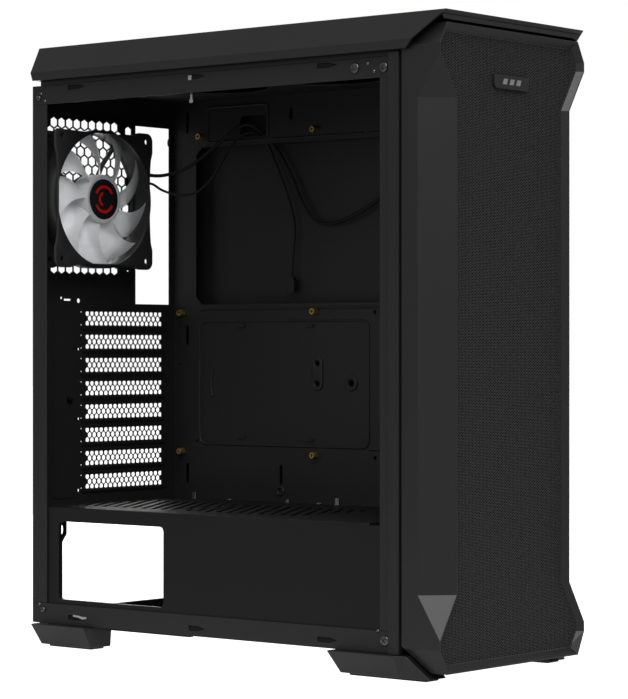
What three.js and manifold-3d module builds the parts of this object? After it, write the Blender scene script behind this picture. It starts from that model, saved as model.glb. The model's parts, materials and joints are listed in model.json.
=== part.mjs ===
// Desktop computer tower: an open mid-tower case with its left side panel off.
// Millimetres, +Z up. The front faces -Y, the open left side faces -X, and the origin is the
// middle of the footprint on the surface that the feet stand on.

import * as THREE from 'three';
import { mergeVertices } from 'three/addons/utils/BufferGeometryUtils.js';
import Module from 'manifold-3d';

const wasm = await Module();
wasm.setup();

// ---------------------------------------------------------------- driving dimensions

const SHEET = 1;                // steel sheet
const GAP = 0.3;                // clearance between neighbouring pieces

// Steel chassis: outer faces of the folded sheets
const LEFT = -94.5;
const RIGHT = 96;
const FRONT = -182.5;
const REAR = 214.5;
const FLOOR = 20;
const ROOF = 477;
const RAIL = 16;                // height of the folds along the side openings
const REAR_FOLD = 17;           // depth of the rear panel's folds
const FRONT_FOLD = 21;          // depth of the front wall's folds
const STRIP_DEPTH = 10.2;       // raised strip that the side panels butt against
const STRIP_PROUD = 3.8;
const STRIP_TOP = 479;
const RAIL_SLOTS = [[152.5, 172.5], [17.5, 35.5], [-119.5, -99.5]];   // along Y, for the panel hooks
const RAIL_SLOT_HEIGHT = 4.2;
const RAIL_SLOT_POINT = 8;      // length of the slots' pointed front end
const ROOF_SLOT_DEPTH = 3.2;    // from the roof down to the middle of its rails' slots
const FLOOR_SLOT_HEIGHT = 6.5;  // from the floor up to the middle of its rails' slots
const ROOF_VENT_RADIUS = 57;
const ROOF_VENT_Y = [105, -20];
const ROOF_CABLE_HOLE = { x0: 40, x1: 75, y0: -160, y1: -120 };
const FRONT_VENT_RADIUS = 56;
const FRONT_VENT_Z = [118, 242, 366];
const BEZEL_PIN = { x: 84, z: [60, 450], radius: 2.6, hole: 3.4, lug: 6 };

// Motherboard position, from the ATX standard
const TRAY_X = 83;              // face that the standoffs stand on
const BOARD_REAR = 212;         // rear edge of the board
const HOLE_ROW = { top: 442.98, middle: 285.5, bottom: 161.04 };
const HOLE_COLUMN = { topRear: 33.02, rear: 10.16, middle: 165.1 };
const STANDOFF_LENGTH = 6.5;
const STANDOFF_RADIUS = 3;
const STUB_RADIUS = 1.5;

const IO_OPENING = { x0: 32.5, x1: 77, z0: 293, z1: 451.5 };
const CPU_CUTOUT = { y0: -38.5, y1: 186.5, z0: 292.7, z1: 433.5 };
const LEAD_HOLE = { y0: 104, y1: 134, z0: 440.5, z1: 459 };
const TRAY_FRONT = -121.5;
const CABLE_PASS = { y0: -98, y1: -62, z: [[300, 430], [140, 270]] };   // openings beside the board

// Expansion slots
const SLOT_COUNT = 8;
const SLOT_PITCH = 20.32;
const TOP_SLOT_Z = 279.7;
const SLOT_APERTURE = { x0: -37, x1: 67, half: 6 };
const COVER_SHEET = 0.8;
const CLAMP = { x0: -57, x1: -38, screwX: -52 };   // bar over the slot covers' tabs

// Power-supply bay
const SHROUD_TOP = 118.9;
const SHROUD_WINDOW = { y0: 64.6, y1: 184.5, z0: 41, z1: 107 };
const SHROUD_VENTS = [[84, 202], [-50, 77]];   // along Y
const SLANTED_SLOT = { x0: -62, x1: 42, slope: 0.6, pitch: 11.3, width: 4.6 };
const PSU_CUTOUT = { x0: -59.5, x1: 76, z0: 28.8, z1: 107, corner: 4 };
const PSU_TAB = { width: 5.3, low: 86.5, high: 93 };   // screw tab in the cut-out's upper left corner
const PSU_SCREWS = [[-60.3, 97.5], [-66, 36], [83.5, 99], [83.5, 60]];
const SHROUD_FRONT = -150;      // front edge of the shroud's top, behind the front fans
const PSU_BAY = { y0: 50, y1: 208, z0: 24, z1: 112 };   // opening in the tray for the supply
const INTAKE = { x: 58, y0: 70, y1: 196 };
const FILTER_RAIL = { lip: 61.5, inner: 65, outer: 66.5, y0: 60, y1: 210, bottom: 14.8 };
const FLOOR_FILTER = { x: 64.6, y0: 64, y1: 206, z0: 16.2, z1: 17.6, tab: 20, tabEnd: 214, tabTop: 18.8 };

// Rear fan, a standard 120 x 120 x 25
const FAN_SIZE = 120;
const FAN_DEPTH = 25;
const FAN_X = -32.35;
const FAN_Z = 382.6;
const FAN_HOLE_SPACING = 105;
const FAN_BORE = 58;
const HUB_RADIUS = 21.5;
const BLADE_TIP = 56.4;
const BLADES = 9;

// Moulded top cover
const COVER_EDGE = 103.5;       // half-width over the outer edges
const COVER_FLAT = 92.7;        // half-width of the flat top
const COVER_TOP = 509.3;
const COVER_BEVEL_Z = 487.5;
const COVER_LIP_Z = 481;
const COVER_LIP_IN = 2.5;       // how far the lip leans inward at its lower edge
const COVER_FRONT = -223.5;
const COVER_REAR = 208.5;
const COVER_WALL = 2.5;
const SKIRT_X = 93;             // outside of the walls that carry the cover on the roof
const COVER_DIAGONAL_Y = -191;  // where the slanted front end meets the bottom of the lip
const FILTER = { x: 66, y0: -90, y1: 180, ledge: 4 };

// Front controls, in a row across the top
const CONTROLS_Y = -165;
const BOARD_TOP = 493.6;
const BOARD_THICKNESS = 1.6;
const POWER_RADIUS = 7.7;
const RESET_RADIUS = 3;
const BUTTON_TRAVEL = 1.2;
const PORTS = { usb3_port: 62, usb2_port_1: -34, usb2_port_2: -56 };
const JACKS = { headphone_jack: 44, microphone_jack: 31 };
const RESET_X = 18;

// Front bezel with its waist
const BEZEL_FRONT = -221;
const BEZEL_REAR = -184.5;
const BEZEL_HALF = 97.2;
const BEZEL_END_HALF = 88.2;    // half-width of the top and bottom edges
const WAIST_HALF = 76;
const BEZEL_TOP = 500;
const BEZEL_BOTTOM = 7;
const SHOULDER_TOP = [443.5, 476.5, 483.5];   // waist, widest from, widest to
const SHOULDER_BOTTOM = [66.5, 33, 25.5];
const BEZEL_WALL = 3;
const MESH_RECESS = 4.5;
const RIM = 6.5;
const MESH_INSET = 3.8;
const BADGE = { half: 23.2, bottomHalf: 21, z0: 455, corner: 458, z1: 466 };

const FOOT_TOP = FLOOR - GAP;
const THUMBSCREW_X = RIGHT - 6;
const THUMBSCREW_Z = [62, 440];

// ---------------------------------------------------------------- shapes and solids

function box(x0, x1, y0, y1, z0, z1) {
  const block = new THREE.BoxGeometry(x1 - x0, y1 - y0, z1 - z0);
  return block.translate((x0 + x1) / 2, (y0 + y1) / 2, (z0 + z1) / 2);
}

function polygon(points) {
  return new THREE.Shape(points.map(([a, b]) => new THREE.Vector2(a, b)));
}

function rectangle(a0, a1, b0, b1, radius = 0) {
  if (radius === 0) return polygon([[a0, b0], [a1, b0], [a1, b1], [a0, b1]]);
  const shape = new THREE.Shape();
  shape.absarc(a1 - radius, b1 - radius, radius, 0, Math.PI / 2);
  shape.absarc(a0 + radius, b1 - radius, radius, Math.PI / 2, Math.PI);
  shape.absarc(a0 + radius, b0 + radius, radius, Math.PI, Math.PI * 1.5);
  shape.absarc(a1 - radius, b0 + radius, radius, Math.PI * 1.5, Math.PI * 2);
  return shape;
}

function disc(a, b, radius) {
  return new THREE.Shape().absarc(a, b, radius, 0, Math.PI * 2);
}

// Extrudes a shape drawn in (Y, Z) along X, in (X, Z) along Y, or in (X, Y) along Z.
const AXES = {
  X: [[0, 1, 0], [0, 0, 1], [1, 0, 0]],
  Y: [[1, 0, 0], [0, 0, 1], [0, -1, 0]],
  Z: [[1, 0, 0], [0, 1, 0], [0, 0, 1]],
};

function extrude(axis, shape, from, to, holes = [], curveSegments = 3) {
  const [u, v, w] = AXES[axis].map((direction) => new THREE.Vector3(...direction));
  const solid = new THREE.ExtrudeGeometry(shape, { depth: to - from, bevelEnabled: false, curveSegments });
  solid.applyMatrix4(new THREE.Matrix4().makeBasis(u, v, w));
  solid.translate(...w.multiplyScalar(axis === 'Y' ? -to : from).toArray());
  if (holes.length === 0) return solid;
  return cut(solid, ...holes.map((hole) => extrude(axis, hole, from - 1, to + 1, [], curveSegments)));
}

// Turned solid about an axis along Y or Z, from [radius, height] points.
function turned(axis, profile, centre, sides = 16) {
  const solid = new THREE.LatheGeometry(profile.map(([r, h]) => new THREE.Vector2(r, h)), sides);
  if (axis === 'Z') solid.rotateX(Math.PI / 2);
  return solid.translate(...centre);
}

// Solid between two flat outlines with the same number of corners, each a list of [x, y, z].
function loft(first, last) {
  const points = first.map((corner) => new THREE.Vector3(...corner));
  const normal = new THREE.Vector3();
  points.forEach((point, i) => normal.add(point.clone().cross(points[(i + 1) % points.length])));
  const rise = new THREE.Vector3(...last[0]).sub(points[0]);
  if (rise.dot(normal) < 0) return loft([...first].reverse(), [...last].reverse());
  const level = new THREE.Quaternion().setFromUnitVectors(normal.normalize(), new THREE.Vector3(0, 0, 1));
  const flat = points.map((point) => point.applyQuaternion(level)).map(({ x, y }) => new THREE.Vector2(x, y));
  const n = first.length;
  const triangles = THREE.ShapeUtils.triangulateShape(flat, []);
  const faces = triangles.flatMap(([a, b, c]) => [c, b, a, a + n, b + n, c + n]);
  first.forEach((corner, i) => {
    const j = (i + 1) % n;
    faces.push(i, j, j + n, i, j + n, i + n);
  });
  const solid = new THREE.BufferGeometry();
  solid.setAttribute('position', new THREE.Float32BufferAttribute([...first, ...last].flat(), 3));
  solid.setIndex(faces);
  return solid;
}

function toManifold(geometry) {
  const bare = geometry.clone();
  bare.deleteAttribute('normal');
  bare.deleteAttribute('uv');
  const merged = mergeVertices(bare, 1e-4);
  return new wasm.Manifold(new wasm.Mesh({
    numProp: 3,
    vertProperties: new Float32Array(merged.attributes.position.array),
    triVerts: new Uint32Array(merged.index.array),
  }));
}

function toGeometry(manifold) {
  const mesh = manifold.getMesh();
  const geometry = new THREE.BufferGeometry();
  geometry.setAttribute('position', new THREE.BufferAttribute(mesh.vertProperties, 3));
  geometry.setIndex(new THREE.BufferAttribute(mesh.triVerts, 1));
  return geometry;
}

function join(first, ...others) {
  return toGeometry(others.reduce((sum, other) => sum.add(toManifold(other)), toManifold(first)));
}

function cut(first, ...tools) {
  return toGeometry(tools.reduce((rest, tool) => rest.subtract(toManifold(tool)), toManifold(first)));
}

// ---------------------------------------------------------------- materials

function finish(color, roughness, metalness) {
  return new THREE.MeshStandardMaterial({ color, roughness, metalness, flatShading: true });
}

const STEEL = finish(0x151515, 0.6, 0.3);
const PLASTIC = finish(0x1b1b1b, 0.65, 0);
const MESH = finish(0x1d1d1d, 0.7, 0.2);
const FROSTED = finish(0xd8dcde, 0.35, 0);
const BRASS = finish(0xb08d3c, 0.35, 1);
const ZINC = finish(0x3a3a3c, 0.4, 0.9);
const CABLE = finish(0x0e0e0e, 0.7, 0);
const BOARD = finish(0x10241a, 0.6, 0);

const tower = new THREE.Group();

function add(name, geometry, material) {
  const mesh = new THREE.Mesh(geometry, material);
  mesh.name = name;
  tower.add(mesh);
}

// ---------------------------------------------------------------- chassis

const fanHoles = [-1, 1].flatMap((i) => [-1, 1].map((k) => [
  FAN_X + i * FAN_HOLE_SPACING / 2,
  FAN_Z + k * FAN_HOLE_SPACING / 2,
]));

function slotZ(index) {
  return TOP_SLOT_Z - SLOT_PITCH * index;
}

// Slots across a round field, as long as its chords
function roundVent(x, z, radius, pitch, height) {
  const rows = Math.floor((radius - height) / pitch);
  return Array.from({ length: 2 * rows + 1 }, (_, i) => {
    const offset = (i - rows) * pitch;
    const half = Math.sqrt(radius ** 2 - (Math.abs(offset) + height / 2) ** 2);
    return rectangle(x - half, x + half, z + offset - height / 2, z + offset + height / 2);
  });
}

// Opening for the rear face of the power supply, with the tab beside its upper left corner
function supplyCutout() {
  const { x0, x1, z0, z1, corner } = PSU_CUTOUT;
  const { width, low, high } = PSU_TAB;
  return polygon([
    [x0 + corner, z0], [x1 - corner, z0], [x1, z0 + corner], [x1, z1 - corner], [x1 - corner, z1],
    [x0 + width, z1], [x0 + width, high], [x0, low], [x0, z0 + corner],
  ]);
}

function rearPanel() {
  const apertures = Array.from({ length: SLOT_COUNT }, (_, i) => rectangle(
    SLOT_APERTURE.x0, SLOT_APERTURE.x1, slotZ(i) - SLOT_APERTURE.half, slotZ(i) + SLOT_APERTURE.half));
  const holes = [
    rectangle(IO_OPENING.x0, IO_OPENING.x1, IO_OPENING.z0, IO_OPENING.z1),
    supplyCutout(),
    ...PSU_SCREWS.map(([x, z]) => disc(x, z, 2)),
    ...apertures,
    ...roundVent(FAN_X, FAN_Z, 50, 12, 7),
    ...fanHoles.map(([x, z]) => disc(x, z, 2.3)),
    ...THUMBSCREW_Z.map((z) => disc(THUMBSCREW_X, z, 2.2)),
    disc(CLAMP.screwX, slotZ(3.5), 2.2),
  ];
  const sheet = extrude('Y', rectangle(LEFT, RIGHT, FLOOR, ROOF), REAR - SHEET, REAR, holes);
  const low = FLOOR + RAIL + GAP + SHEET;
  const high = ROOF - RAIL - GAP;
  return join(sheet,
    box(LEFT, LEFT + SHEET, REAR - REAR_FOLD, REAR - SHEET / 2, low, high),
    box(RIGHT - SHEET, RIGHT, REAR - REAR_FOLD, REAR - SHEET / 2, low, high));
}

const CHANNEL_FRONT = FRONT + SHEET + GAP;
const CHANNEL_REAR = REAR - SHEET - GAP;

// Fold along one side of the roof or floor, with the slots that the side panel hooks into
function rail(x, z0, z1, slotsZ) {
  const low = slotsZ - RAIL_SLOT_HEIGHT / 2;
  const high = slotsZ + RAIL_SLOT_HEIGHT / 2;
  const slots = RAIL_SLOTS.map(([y0, y1]) => polygon([
    [y1, low], [y1, high], [y0 + RAIL_SLOT_POINT, high], [y0, slotsZ], [y0 + RAIL_SLOT_POINT, low]]));
  return extrude('X', rectangle(CHANNEL_FRONT, CHANNEL_REAR, z0, z1), x, x + SHEET, slots);
}

function roofPanel() {
  const { x0, x1, y0, y1 } = ROOF_CABLE_HOLE;
  const vents = [...ROOF_VENT_Y.map((y) => disc(0, y, ROOF_VENT_RADIUS)), rectangle(x0, x1, y0, y1, 4)];
  const outline = rectangle(LEFT, RIGHT, CHANNEL_FRONT, CHANNEL_REAR);
  const sheet = extrude('Z', outline, ROOF - SHEET, ROOF, vents, 12);
  const slotsZ = ROOF - ROOF_SLOT_DEPTH;
  return join(sheet,
    rail(LEFT, ROOF - RAIL, ROOF - SHEET / 2, slotsZ),
    rail(RIGHT - SHEET, ROOF - RAIL, ROOF - SHEET / 2, slotsZ));
}

function floorPan() {
  const intake = [rectangle(-INTAKE.x, INTAKE.x, INTAKE.y0, INTAKE.y1, 6)];
  const outline = rectangle(LEFT, RIGHT, CHANNEL_FRONT, CHANNEL_REAR);
  const sheet = extrude('Z', outline, FLOOR, FLOOR + SHEET, intake);
  const slotsZ = FLOOR + FLOOR_SLOT_HEIGHT;
  const { lip, inner, outer, y0, y1, bottom } = FILTER_RAIL;
  const filterRails = [[-outer, -inner, -outer, -lip], [inner, outer, lip, outer]].flatMap(([a, b, c, d]) => [
    box(a, b, y0, y1, bottom, FLOOR + SHEET / 2),
    box(c, d, y0, y1, bottom, bottom + SHEET),
  ]);
  return join(sheet,
    rail(LEFT, FLOOR + SHEET / 2, FLOOR + RAIL + SHEET, slotsZ),
    rail(RIGHT - SHEET, FLOOR + SHEET / 2, FLOOR + RAIL + SHEET, slotsZ),
    ...filterRails);
}

const BEZEL_PINS = [-1, 1].flatMap((side) => BEZEL_PIN.z.map((z) => [BEZEL_PIN.x * side, z]));

function frontWall() {
  const holes = [
    ...FRONT_VENT_Z.map((z) => disc(0, z, FRONT_VENT_RADIUS)),
    ...BEZEL_PINS.map(([x, z]) => disc(x, z, BEZEL_PIN.hole)),
  ];
  const sheet = extrude('Y', rectangle(LEFT, RIGHT, FLOOR, ROOF), FRONT, FRONT + SHEET, holes, 12);
  const low = FLOOR + RAIL + GAP + SHEET;
  const high = ROOF - RAIL - GAP;
  const strip = FRONT + STRIP_DEPTH;
  return join(sheet,
    box(LEFT, LEFT + SHEET, FRONT + SHEET / 2, FRONT + FRONT_FOLD, low, high),
    box(RIGHT - SHEET, RIGHT, FRONT + SHEET / 2, FRONT + FRONT_FOLD, low, high),
    box(LEFT - STRIP_PROUD, LEFT - GAP, FRONT + SHEET, strip, FLOOR, STRIP_TOP),
    box(LEFT - STRIP_PROUD, LEFT + SHEET, FRONT, FRONT + SHEET, FLOOR, STRIP_TOP),
    box(RIGHT + GAP, RIGHT + GAP + SHEET, FRONT + SHEET, strip, FLOOR, STRIP_TOP),
    box(RIGHT - SHEET, RIGHT + GAP + SHEET, FRONT, FRONT + SHEET, FLOOR, STRIP_TOP));
}

const standoffs = [
  [HOLE_COLUMN.topRear, HOLE_ROW.top], [HOLE_COLUMN.middle, HOLE_ROW.top],
  [HOLE_COLUMN.rear, HOLE_ROW.middle], [HOLE_COLUMN.middle, HOLE_ROW.middle],
  [HOLE_COLUMN.rear, HOLE_ROW.bottom], [HOLE_COLUMN.middle, HOLE_ROW.bottom],
].map(([column, z]) => [BOARD_REAR - column, z]);

const CAGE = { x0: -75, x1: 80, y0: -141, y1: -27, z0: FLOOR + SHEET + GAP, shelf: 31 };

function motherboardTray() {
  const chamfer = 7;
  const { y0, y1, z0, z1 } = CPU_CUTOUT;
  const cpu = polygon([
    [y0 + chamfer, z0], [y1 - chamfer, z0], [y1, z0 + chamfer], [y1, z1 - chamfer],
    [y1 - chamfer, z1], [y0 + chamfer, z1], [y0, z1 - chamfer], [y0, z0 + chamfer]]);
  const holes = [
    cpu,
    rectangle(LEAD_HOLE.y0, LEAD_HOLE.y1, LEAD_HOLE.z0, LEAD_HOLE.z1, 3),
    ...CABLE_PASS.z.map(([low, high]) => rectangle(CABLE_PASS.y0, CABLE_PASS.y1, low, high, 6)),
    rectangle(-115, CAGE.y1 + 3, CAGE.z0 + 1, CAGE.z0 + 64, 3),
    rectangle(PSU_BAY.y0, PSU_BAY.y1, PSU_BAY.z0, PSU_BAY.z1, 3),
    ...standoffs.map(([y, z]) => disc(y, z, STUB_RADIUS + 0.4)),
  ];
  const outline = rectangle(TRAY_FRONT, CHANNEL_REAR, FLOOR + SHEET + GAP, ROOF - SHEET - GAP);
  return extrude('X', outline, TRAY_X, TRAY_X + SHEET, holes);
}

// Hexagonal post with the threaded stub that holds it in the tray
function standoff(y, z) {
  const hexagon = polygon(Array.from({ length: 6 }, (_, i) => {
    const angle = i * Math.PI / 3;
    return [y + STANDOFF_RADIUS * Math.cos(angle), z + STANDOFF_RADIUS * Math.sin(angle)];
  }));
  const post = extrude('X', hexagon, TRAY_X - STANDOFF_LENGTH, TRAY_X - GAP, [disc(y, z, 1.4)], 4);
  const stub = extrude('X', disc(y, z, STUB_RADIUS), TRAY_X - 2, TRAY_X + SHEET + 1, [], 4);
  return join(post, stub);
}

// Slanted slots from x0 to x1, shortened where they would leave the field from y0 to y1
function slantedSlots(y0, y1) {
  const { x0, x1, slope, pitch, width } = SLANTED_SLOT;
  const first = y0 - (x1 - x0) * slope;
  const slots = [];
  for (let start = first + pitch; start < y1 - pitch; start += pitch) {
    const a = Math.max(x0, x0 + (y0 - start) / slope);
    const b = Math.min(x1, x0 + (y1 - width - start) / slope);
    const [low, high] = [a, b].map((x) => start + (x - x0) * slope);
    if (b - a > pitch) slots.push(polygon([[a, low], [b, high], [b, high + width], [a, low + width]]));
  }
  return slots;
}

function psuShroud() {
  const x0 = LEFT + SHEET + GAP;
  const x1 = TRAY_X - GAP;
  const slots = SHROUD_VENTS.flatMap(([y0, y1]) => slantedSlots(y0, y1));
  const topOutline = rectangle(x0, x1, SHROUD_FRONT, CHANNEL_REAR);
  const top = extrude('Z', topOutline, SHROUD_TOP - SHEET, SHROUD_TOP, slots);
  const { y0, y1, z0, z1 } = SHROUD_WINDOW;
  const sideOutline = rectangle(CHANNEL_FRONT, CHANNEL_REAR, FLOOR + SHEET + GAP, SHROUD_TOP - SHEET / 2);
  const side = extrude('X', sideOutline, x0, x0 + SHEET, [rectangle(y0, y1, z0, z1, 4)]);
  return join(top, side);
}

// ---------------------------------------------------------------- expansion slots

// Flat strip inside the rear panel whose tab passes through the slot and lies on the outside
function slotCover(index) {
  const z = slotZ(index);
  const inside = REAR - SHEET - GAP;
  const outside = REAR + GAP;
  const neck = SLOT_APERTURE.x0 + 0.4;
  const half = SLOT_APERTURE.half - 0.8;
  return join(
    box(neck, SLOT_APERTURE.x1 + 4, inside - COVER_SHEET, inside, z - 9.2, z + 9.2),
    box(neck, neck + 1, inside - COVER_SHEET / 2, outside + COVER_SHEET / 2, z - half, z + half),
    box(neck - 12, neck + 1, outside, outside + COVER_SHEET, z - half, z + half));
}

const CLAMP_Y = REAR + GAP + COVER_SHEET + GAP;

// Bar over all the tabs, screwed to the rear panel
function slotClamp() {
  const z0 = slotZ(SLOT_COUNT - 1) - 9;
  const z1 = slotZ(0) + 9;
  const { x0, x1, screwX } = CLAMP;
  const hole = disc(screwX, slotZ(3.5), 2.2);
  const plate = extrude('Y', rectangle(x0, x1, z0, z1), CLAMP_Y, CLAMP_Y + SHEET, [hole]);
  return join(plate, box(x0, x0 + SHEET, REAR + GAP, CLAMP_Y + SHEET / 2, z0, z1));
}

// Screw along Y: a head on the outside and a shank towards the front
function screw(x, z, seat, headRadius, headLength, shankRadius, shankLength) {
  return turned('Y', [
    [0, -shankLength], [shankRadius, -shankLength], [shankRadius, 0],
    [headRadius, 0], [headRadius, headLength * 0.75], [headRadius * 0.8, headLength], [0, headLength],
  ], [x, seat, z], 12);
}

// ---------------------------------------------------------------- rear fan

const FAN_REAR = REAR - SHEET - GAP;
const FAN_FRONT = FAN_REAR - FAN_DEPTH + GAP;

function fanFrame() {
  const half = FAN_SIZE / 2;
  const shell = extrude('Y', rectangle(FAN_X - half, FAN_X + half, FAN_Z - half, FAN_Z + half, 7),
    FAN_FRONT, FAN_REAR, [disc(FAN_X, FAN_Z, FAN_BORE)], 12);
  const posts = fanHoles.map(([x, z]) => extrude('Y', disc(x, z, 2.1), FAN_FRONT - 1, FAN_REAR + 1, [], 4));
  const spokes = Array.from({ length: 4 }, (_, i) => {
    const spoke = box(16, FAN_BORE + 1, FAN_REAR - 3, FAN_REAR, -2, 2);
    return spoke.rotateY(Math.PI / 5 + i * Math.PI / 2).translate(FAN_X, 0, FAN_Z);
  });
  const motorPlate = extrude('Y', disc(FAN_X, FAN_Z, HUB_RADIUS), FAN_REAR - 3, FAN_REAR, [], 12);
  return cut(join(shell, motorPlate, ...spokes), ...posts);
}

// One blade: a thin sheet, swept and twisted, from the hub to the tip. Its front edge leads.
function fanBlade(turn) {
  const stations = 5;
  const low = [];
  const high = [];
  for (let i = 0; i <= stations; i += 1) {
    const t = i / stations;
    const radius = THREE.MathUtils.lerp(HUB_RADIUS - 2, BLADE_TIP, t);
    const middle = turn + 0.35 * t * t;
    const halfAngle = THREE.MathUtils.lerp(0.34, 0.25, t);
    const rise = THREE.MathUtils.lerp(7.5, 5.5, t);
    [-1, 1].forEach((edge) => {
      const angle = middle + edge * halfAngle;
      const point = [radius * Math.cos(angle), -edge * rise, radius * Math.sin(angle)];
      (edge < 0 ? low : high).push(point);
    });
  }
  const outline = [...low, ...high.reverse()];
  const thick = 0.8;
  const front = outline.map(([x, y, z]) => [x, y - thick, z]);
  const back = outline.map(([x, y, z]) => [x, y + thick, z]);
  const faces = [];
  const n = outline.length;
  for (let i = 0; i < stations; i += 1) {
    const [a, b, c, d] = [i, i + 1, n - 2 - i, n - 1 - i];
    faces.push(a, b, c, a, c, d, a + n, c + n, b + n, a + n, d + n, c + n);
  }
  for (let i = 0; i < n; i += 1) {
    const j = (i + 1) % n;
    faces.push(i, i + n, j + n, i, j + n, j);
  }
  const blade = new THREE.BufferGeometry();
  blade.setAttribute('position', new THREE.Float32BufferAttribute([...front, ...back].flat(), 3));
  blade.setIndex(faces);
  return blade;
}

function fanRotor() {
  const front = FAN_FRONT + 1.5;
  const rear = FAN_REAR - 3 - 0.6;
  const profile = [[0, front], [HUB_RADIUS - 1.5, front], [HUB_RADIUS, front + 1.5], [HUB_RADIUS, rear], [0, rear]];
  const hub = turned('Y', profile, [0, 0, 0], 24);
  const middle = (front + rear) / 2;
  const blades = Array.from({ length: BLADES }, (_, i) => {
    const blade = fanBlade(i * 2 * Math.PI / BLADES);
    return blade.translate(0, middle, 0);
  });
  return join(hub, ...blades).translate(FAN_X, 0, FAN_Z);
}

// ---------------------------------------------------------------- fan leads

// The leads leave the fan's side, pass through the hole near the top of the tray and hang behind it.
const POWER_LEAD = {
  radius: 1.6,
  steps: 44,
  points: [
    [28, 192, 406.5], [34, 191.5, 406.3], [41, 188, 406.8], [50, 181, 409.5], [58, 173, 414.5], [65, 163, 423],
    [72, 150, 435], [78, 137, 446], [83.5, 126, 451.5], [87.5, 116, 446.5], [89.5, 104.5, 436.5],
    [90, 94, 424.5], [90, 80, 403], [90, 68, 380], [90, 57, 367], [90, 44, 361.5], [90, 28, 362.5],
    [90, 10, 368], [90, -8, 376], [90, -26, 386.5], [90, -42, 394.5], [90, -54, 396.5], [90, -63, 391],
    [90, -67.5, 380], [90, -69, 366], [90, -69.5, 352],
  ],
};
const LIGHT_LEAD = {
  radius: 1.1,
  steps: 36,
  points: [
    [28, 194, 399.5], [34, 193, 398.5], [40, 189, 394], [47, 182, 390.5], [54, 174, 389.5], [61, 164.5, 392.5],
    [67, 156.5, 401], [72, 150, 413], [76, 144.5, 425.5], [80, 137, 437.5], [84, 127, 444], [88, 117.5, 442.5],
    [90.5, 108.5, 433.5], [90.5, 100, 418], [90.5, 91, 400], [90.5, 82.5, 380], [90.5, 77.5, 362],
    [90.5, 78, 346], [90.5, 80, 330], [90.5, 80.5, 316],
  ],
};

function lead({ radius, steps, points }) {
  const path = new THREE.CatmullRomCurve3(points.map((point) => new THREE.Vector3(...point)));
  const section = new THREE.Shape(Array.from({ length: 8 }, (_, i) => new THREE.Vector2(
    radius * Math.cos(i * Math.PI / 4), radius * Math.sin(i * Math.PI / 4))));
  return new THREE.ExtrudeGeometry(section, { steps, extrudePath: path, bevelEnabled: false });
}

// Housing of a lead's connector, hanging below the lead's end
function connector([x, y, z], width, height) {
  const top = z - GAP;
  const shell = box(x - 3, x + 3, y - width / 2, y + width / 2, top - height, top);
  const mouth = width / 2 - 1.2;
  const socket = box(x - 1.8, x + 1.8, y - mouth, y + mouth, top - height - 1, top - height + 7);
  return cut(shell, socket);
}

// Hook on the back of the tray that the power lead passes through
function leadClip() {
  const [x, y, z] = [90, -42, 394.5];
  const outer = extrude('Y', rectangle(x - 5.7, x + 3.4, z - 4.5, z + 3.5, 1.5), y - 3, y + 3);
  const inner = extrude('Y', rectangle(x - 2.6, x + 2.2, z - 3.2, z + 2.3), y - 4, y + 4);
  return cut(outer, inner);
}

// ---------------------------------------------------------------- top cover and controls

function coverOutline(wall) {
  const slope = (COVER_EDGE - COVER_FLAT) / (COVER_TOP - COVER_BEVEL_Z);
  const inward = wall * Math.hypot(1, slope);
  const top = COVER_TOP - wall * 1.4;
  const edge = COVER_EDGE - wall;
  const flat = COVER_FLAT + slope * (COVER_TOP - top) - inward;
  const bevelZ = COVER_BEVEL_Z + (inward - wall) / slope;
  const low = COVER_LIP_Z - (wall > 0 ? 1 : 0);
  const lip = edge - COVER_LIP_IN * (COVER_BEVEL_Z - low) / (COVER_BEVEL_Z - COVER_LIP_Z);
  return polygon([[-lip, low], [lip, low], [edge, bevelZ], [flat, top], [-flat, top], [-edge, bevelZ]]);
}

function controlHoles() {
  const low = COVER_TOP - 8;
  const high = COVER_TOP + 1;
  const round = (x, radius) => extrude('Z', disc(x, CONTROLS_Y, radius), low, high, [], 8);
  return [
    round(0, POWER_RADIUS + 0.4),
    round(RESET_X, RESET_RADIUS + 0.4),
    ...Object.values(JACKS).map((x) => round(x, 4.4)),
    ...Object.values(PORTS).map((x) => box(x - 7.1, x + 7.1, CONTROLS_Y - 3.4, CONTROLS_Y + 3.4, low, high)),
  ];
}

function topCover() {
  const shell = cut(extrude('Y', coverOutline(0), COVER_FRONT, COVER_REAR),
    extrude('Y', coverOutline(COVER_WALL), COVER_FRONT - 1, COVER_REAR - COVER_WALL));
  const fall = COVER_TOP - COVER_LIP_Z;
  const slant = COVER_DIAGONAL_Y - COVER_FRONT;
  const front = extrude('X', polygon([
    [COVER_FRONT - 5, COVER_TOP + 5 * fall / slant],
    [COVER_DIAGONAL_Y + 5 * slant / fall, COVER_LIP_Z - 5],
    [COVER_FRONT - 5, COVER_LIP_Z - 5]]), -COVER_EDGE - 1, COVER_EDGE + 1);
  const { x, y0, y1, ledge } = FILTER;
  const seat = ROOF + GAP;
  const inner = SKIRT_X - COVER_WALL;
  const skirts = [
    box(-SKIRT_X, -inner, FRONT + 4, COVER_REAR - 2, seat, COVER_TOP - 2),
    box(inner, SKIRT_X, FRONT + 4, COVER_REAR - 2, seat, COVER_TOP - 2),
    box(1 - SKIRT_X, SKIRT_X - 1, COVER_REAR - 6, COVER_REAR - 6 + COVER_WALL, seat, COVER_TOP - 2),
  ];
  return cut(join(cut(shell, front), ...skirts),
    box(-x, x, y0, y1, COVER_TOP - 2, COVER_TOP + 1),
    box(-x + ledge, x - ledge, y0 + ledge, y1 - ledge, COVER_TOP - 6, COVER_TOP + 1),
    ...controlHoles());
}

function topFilter() {
  const { x, y0, y1 } = FILTER;
  return box(-x + GAP, x - GAP, y0 + GAP, y1 - GAP, COVER_TOP - 2 + GAP, COVER_TOP);
}

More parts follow.
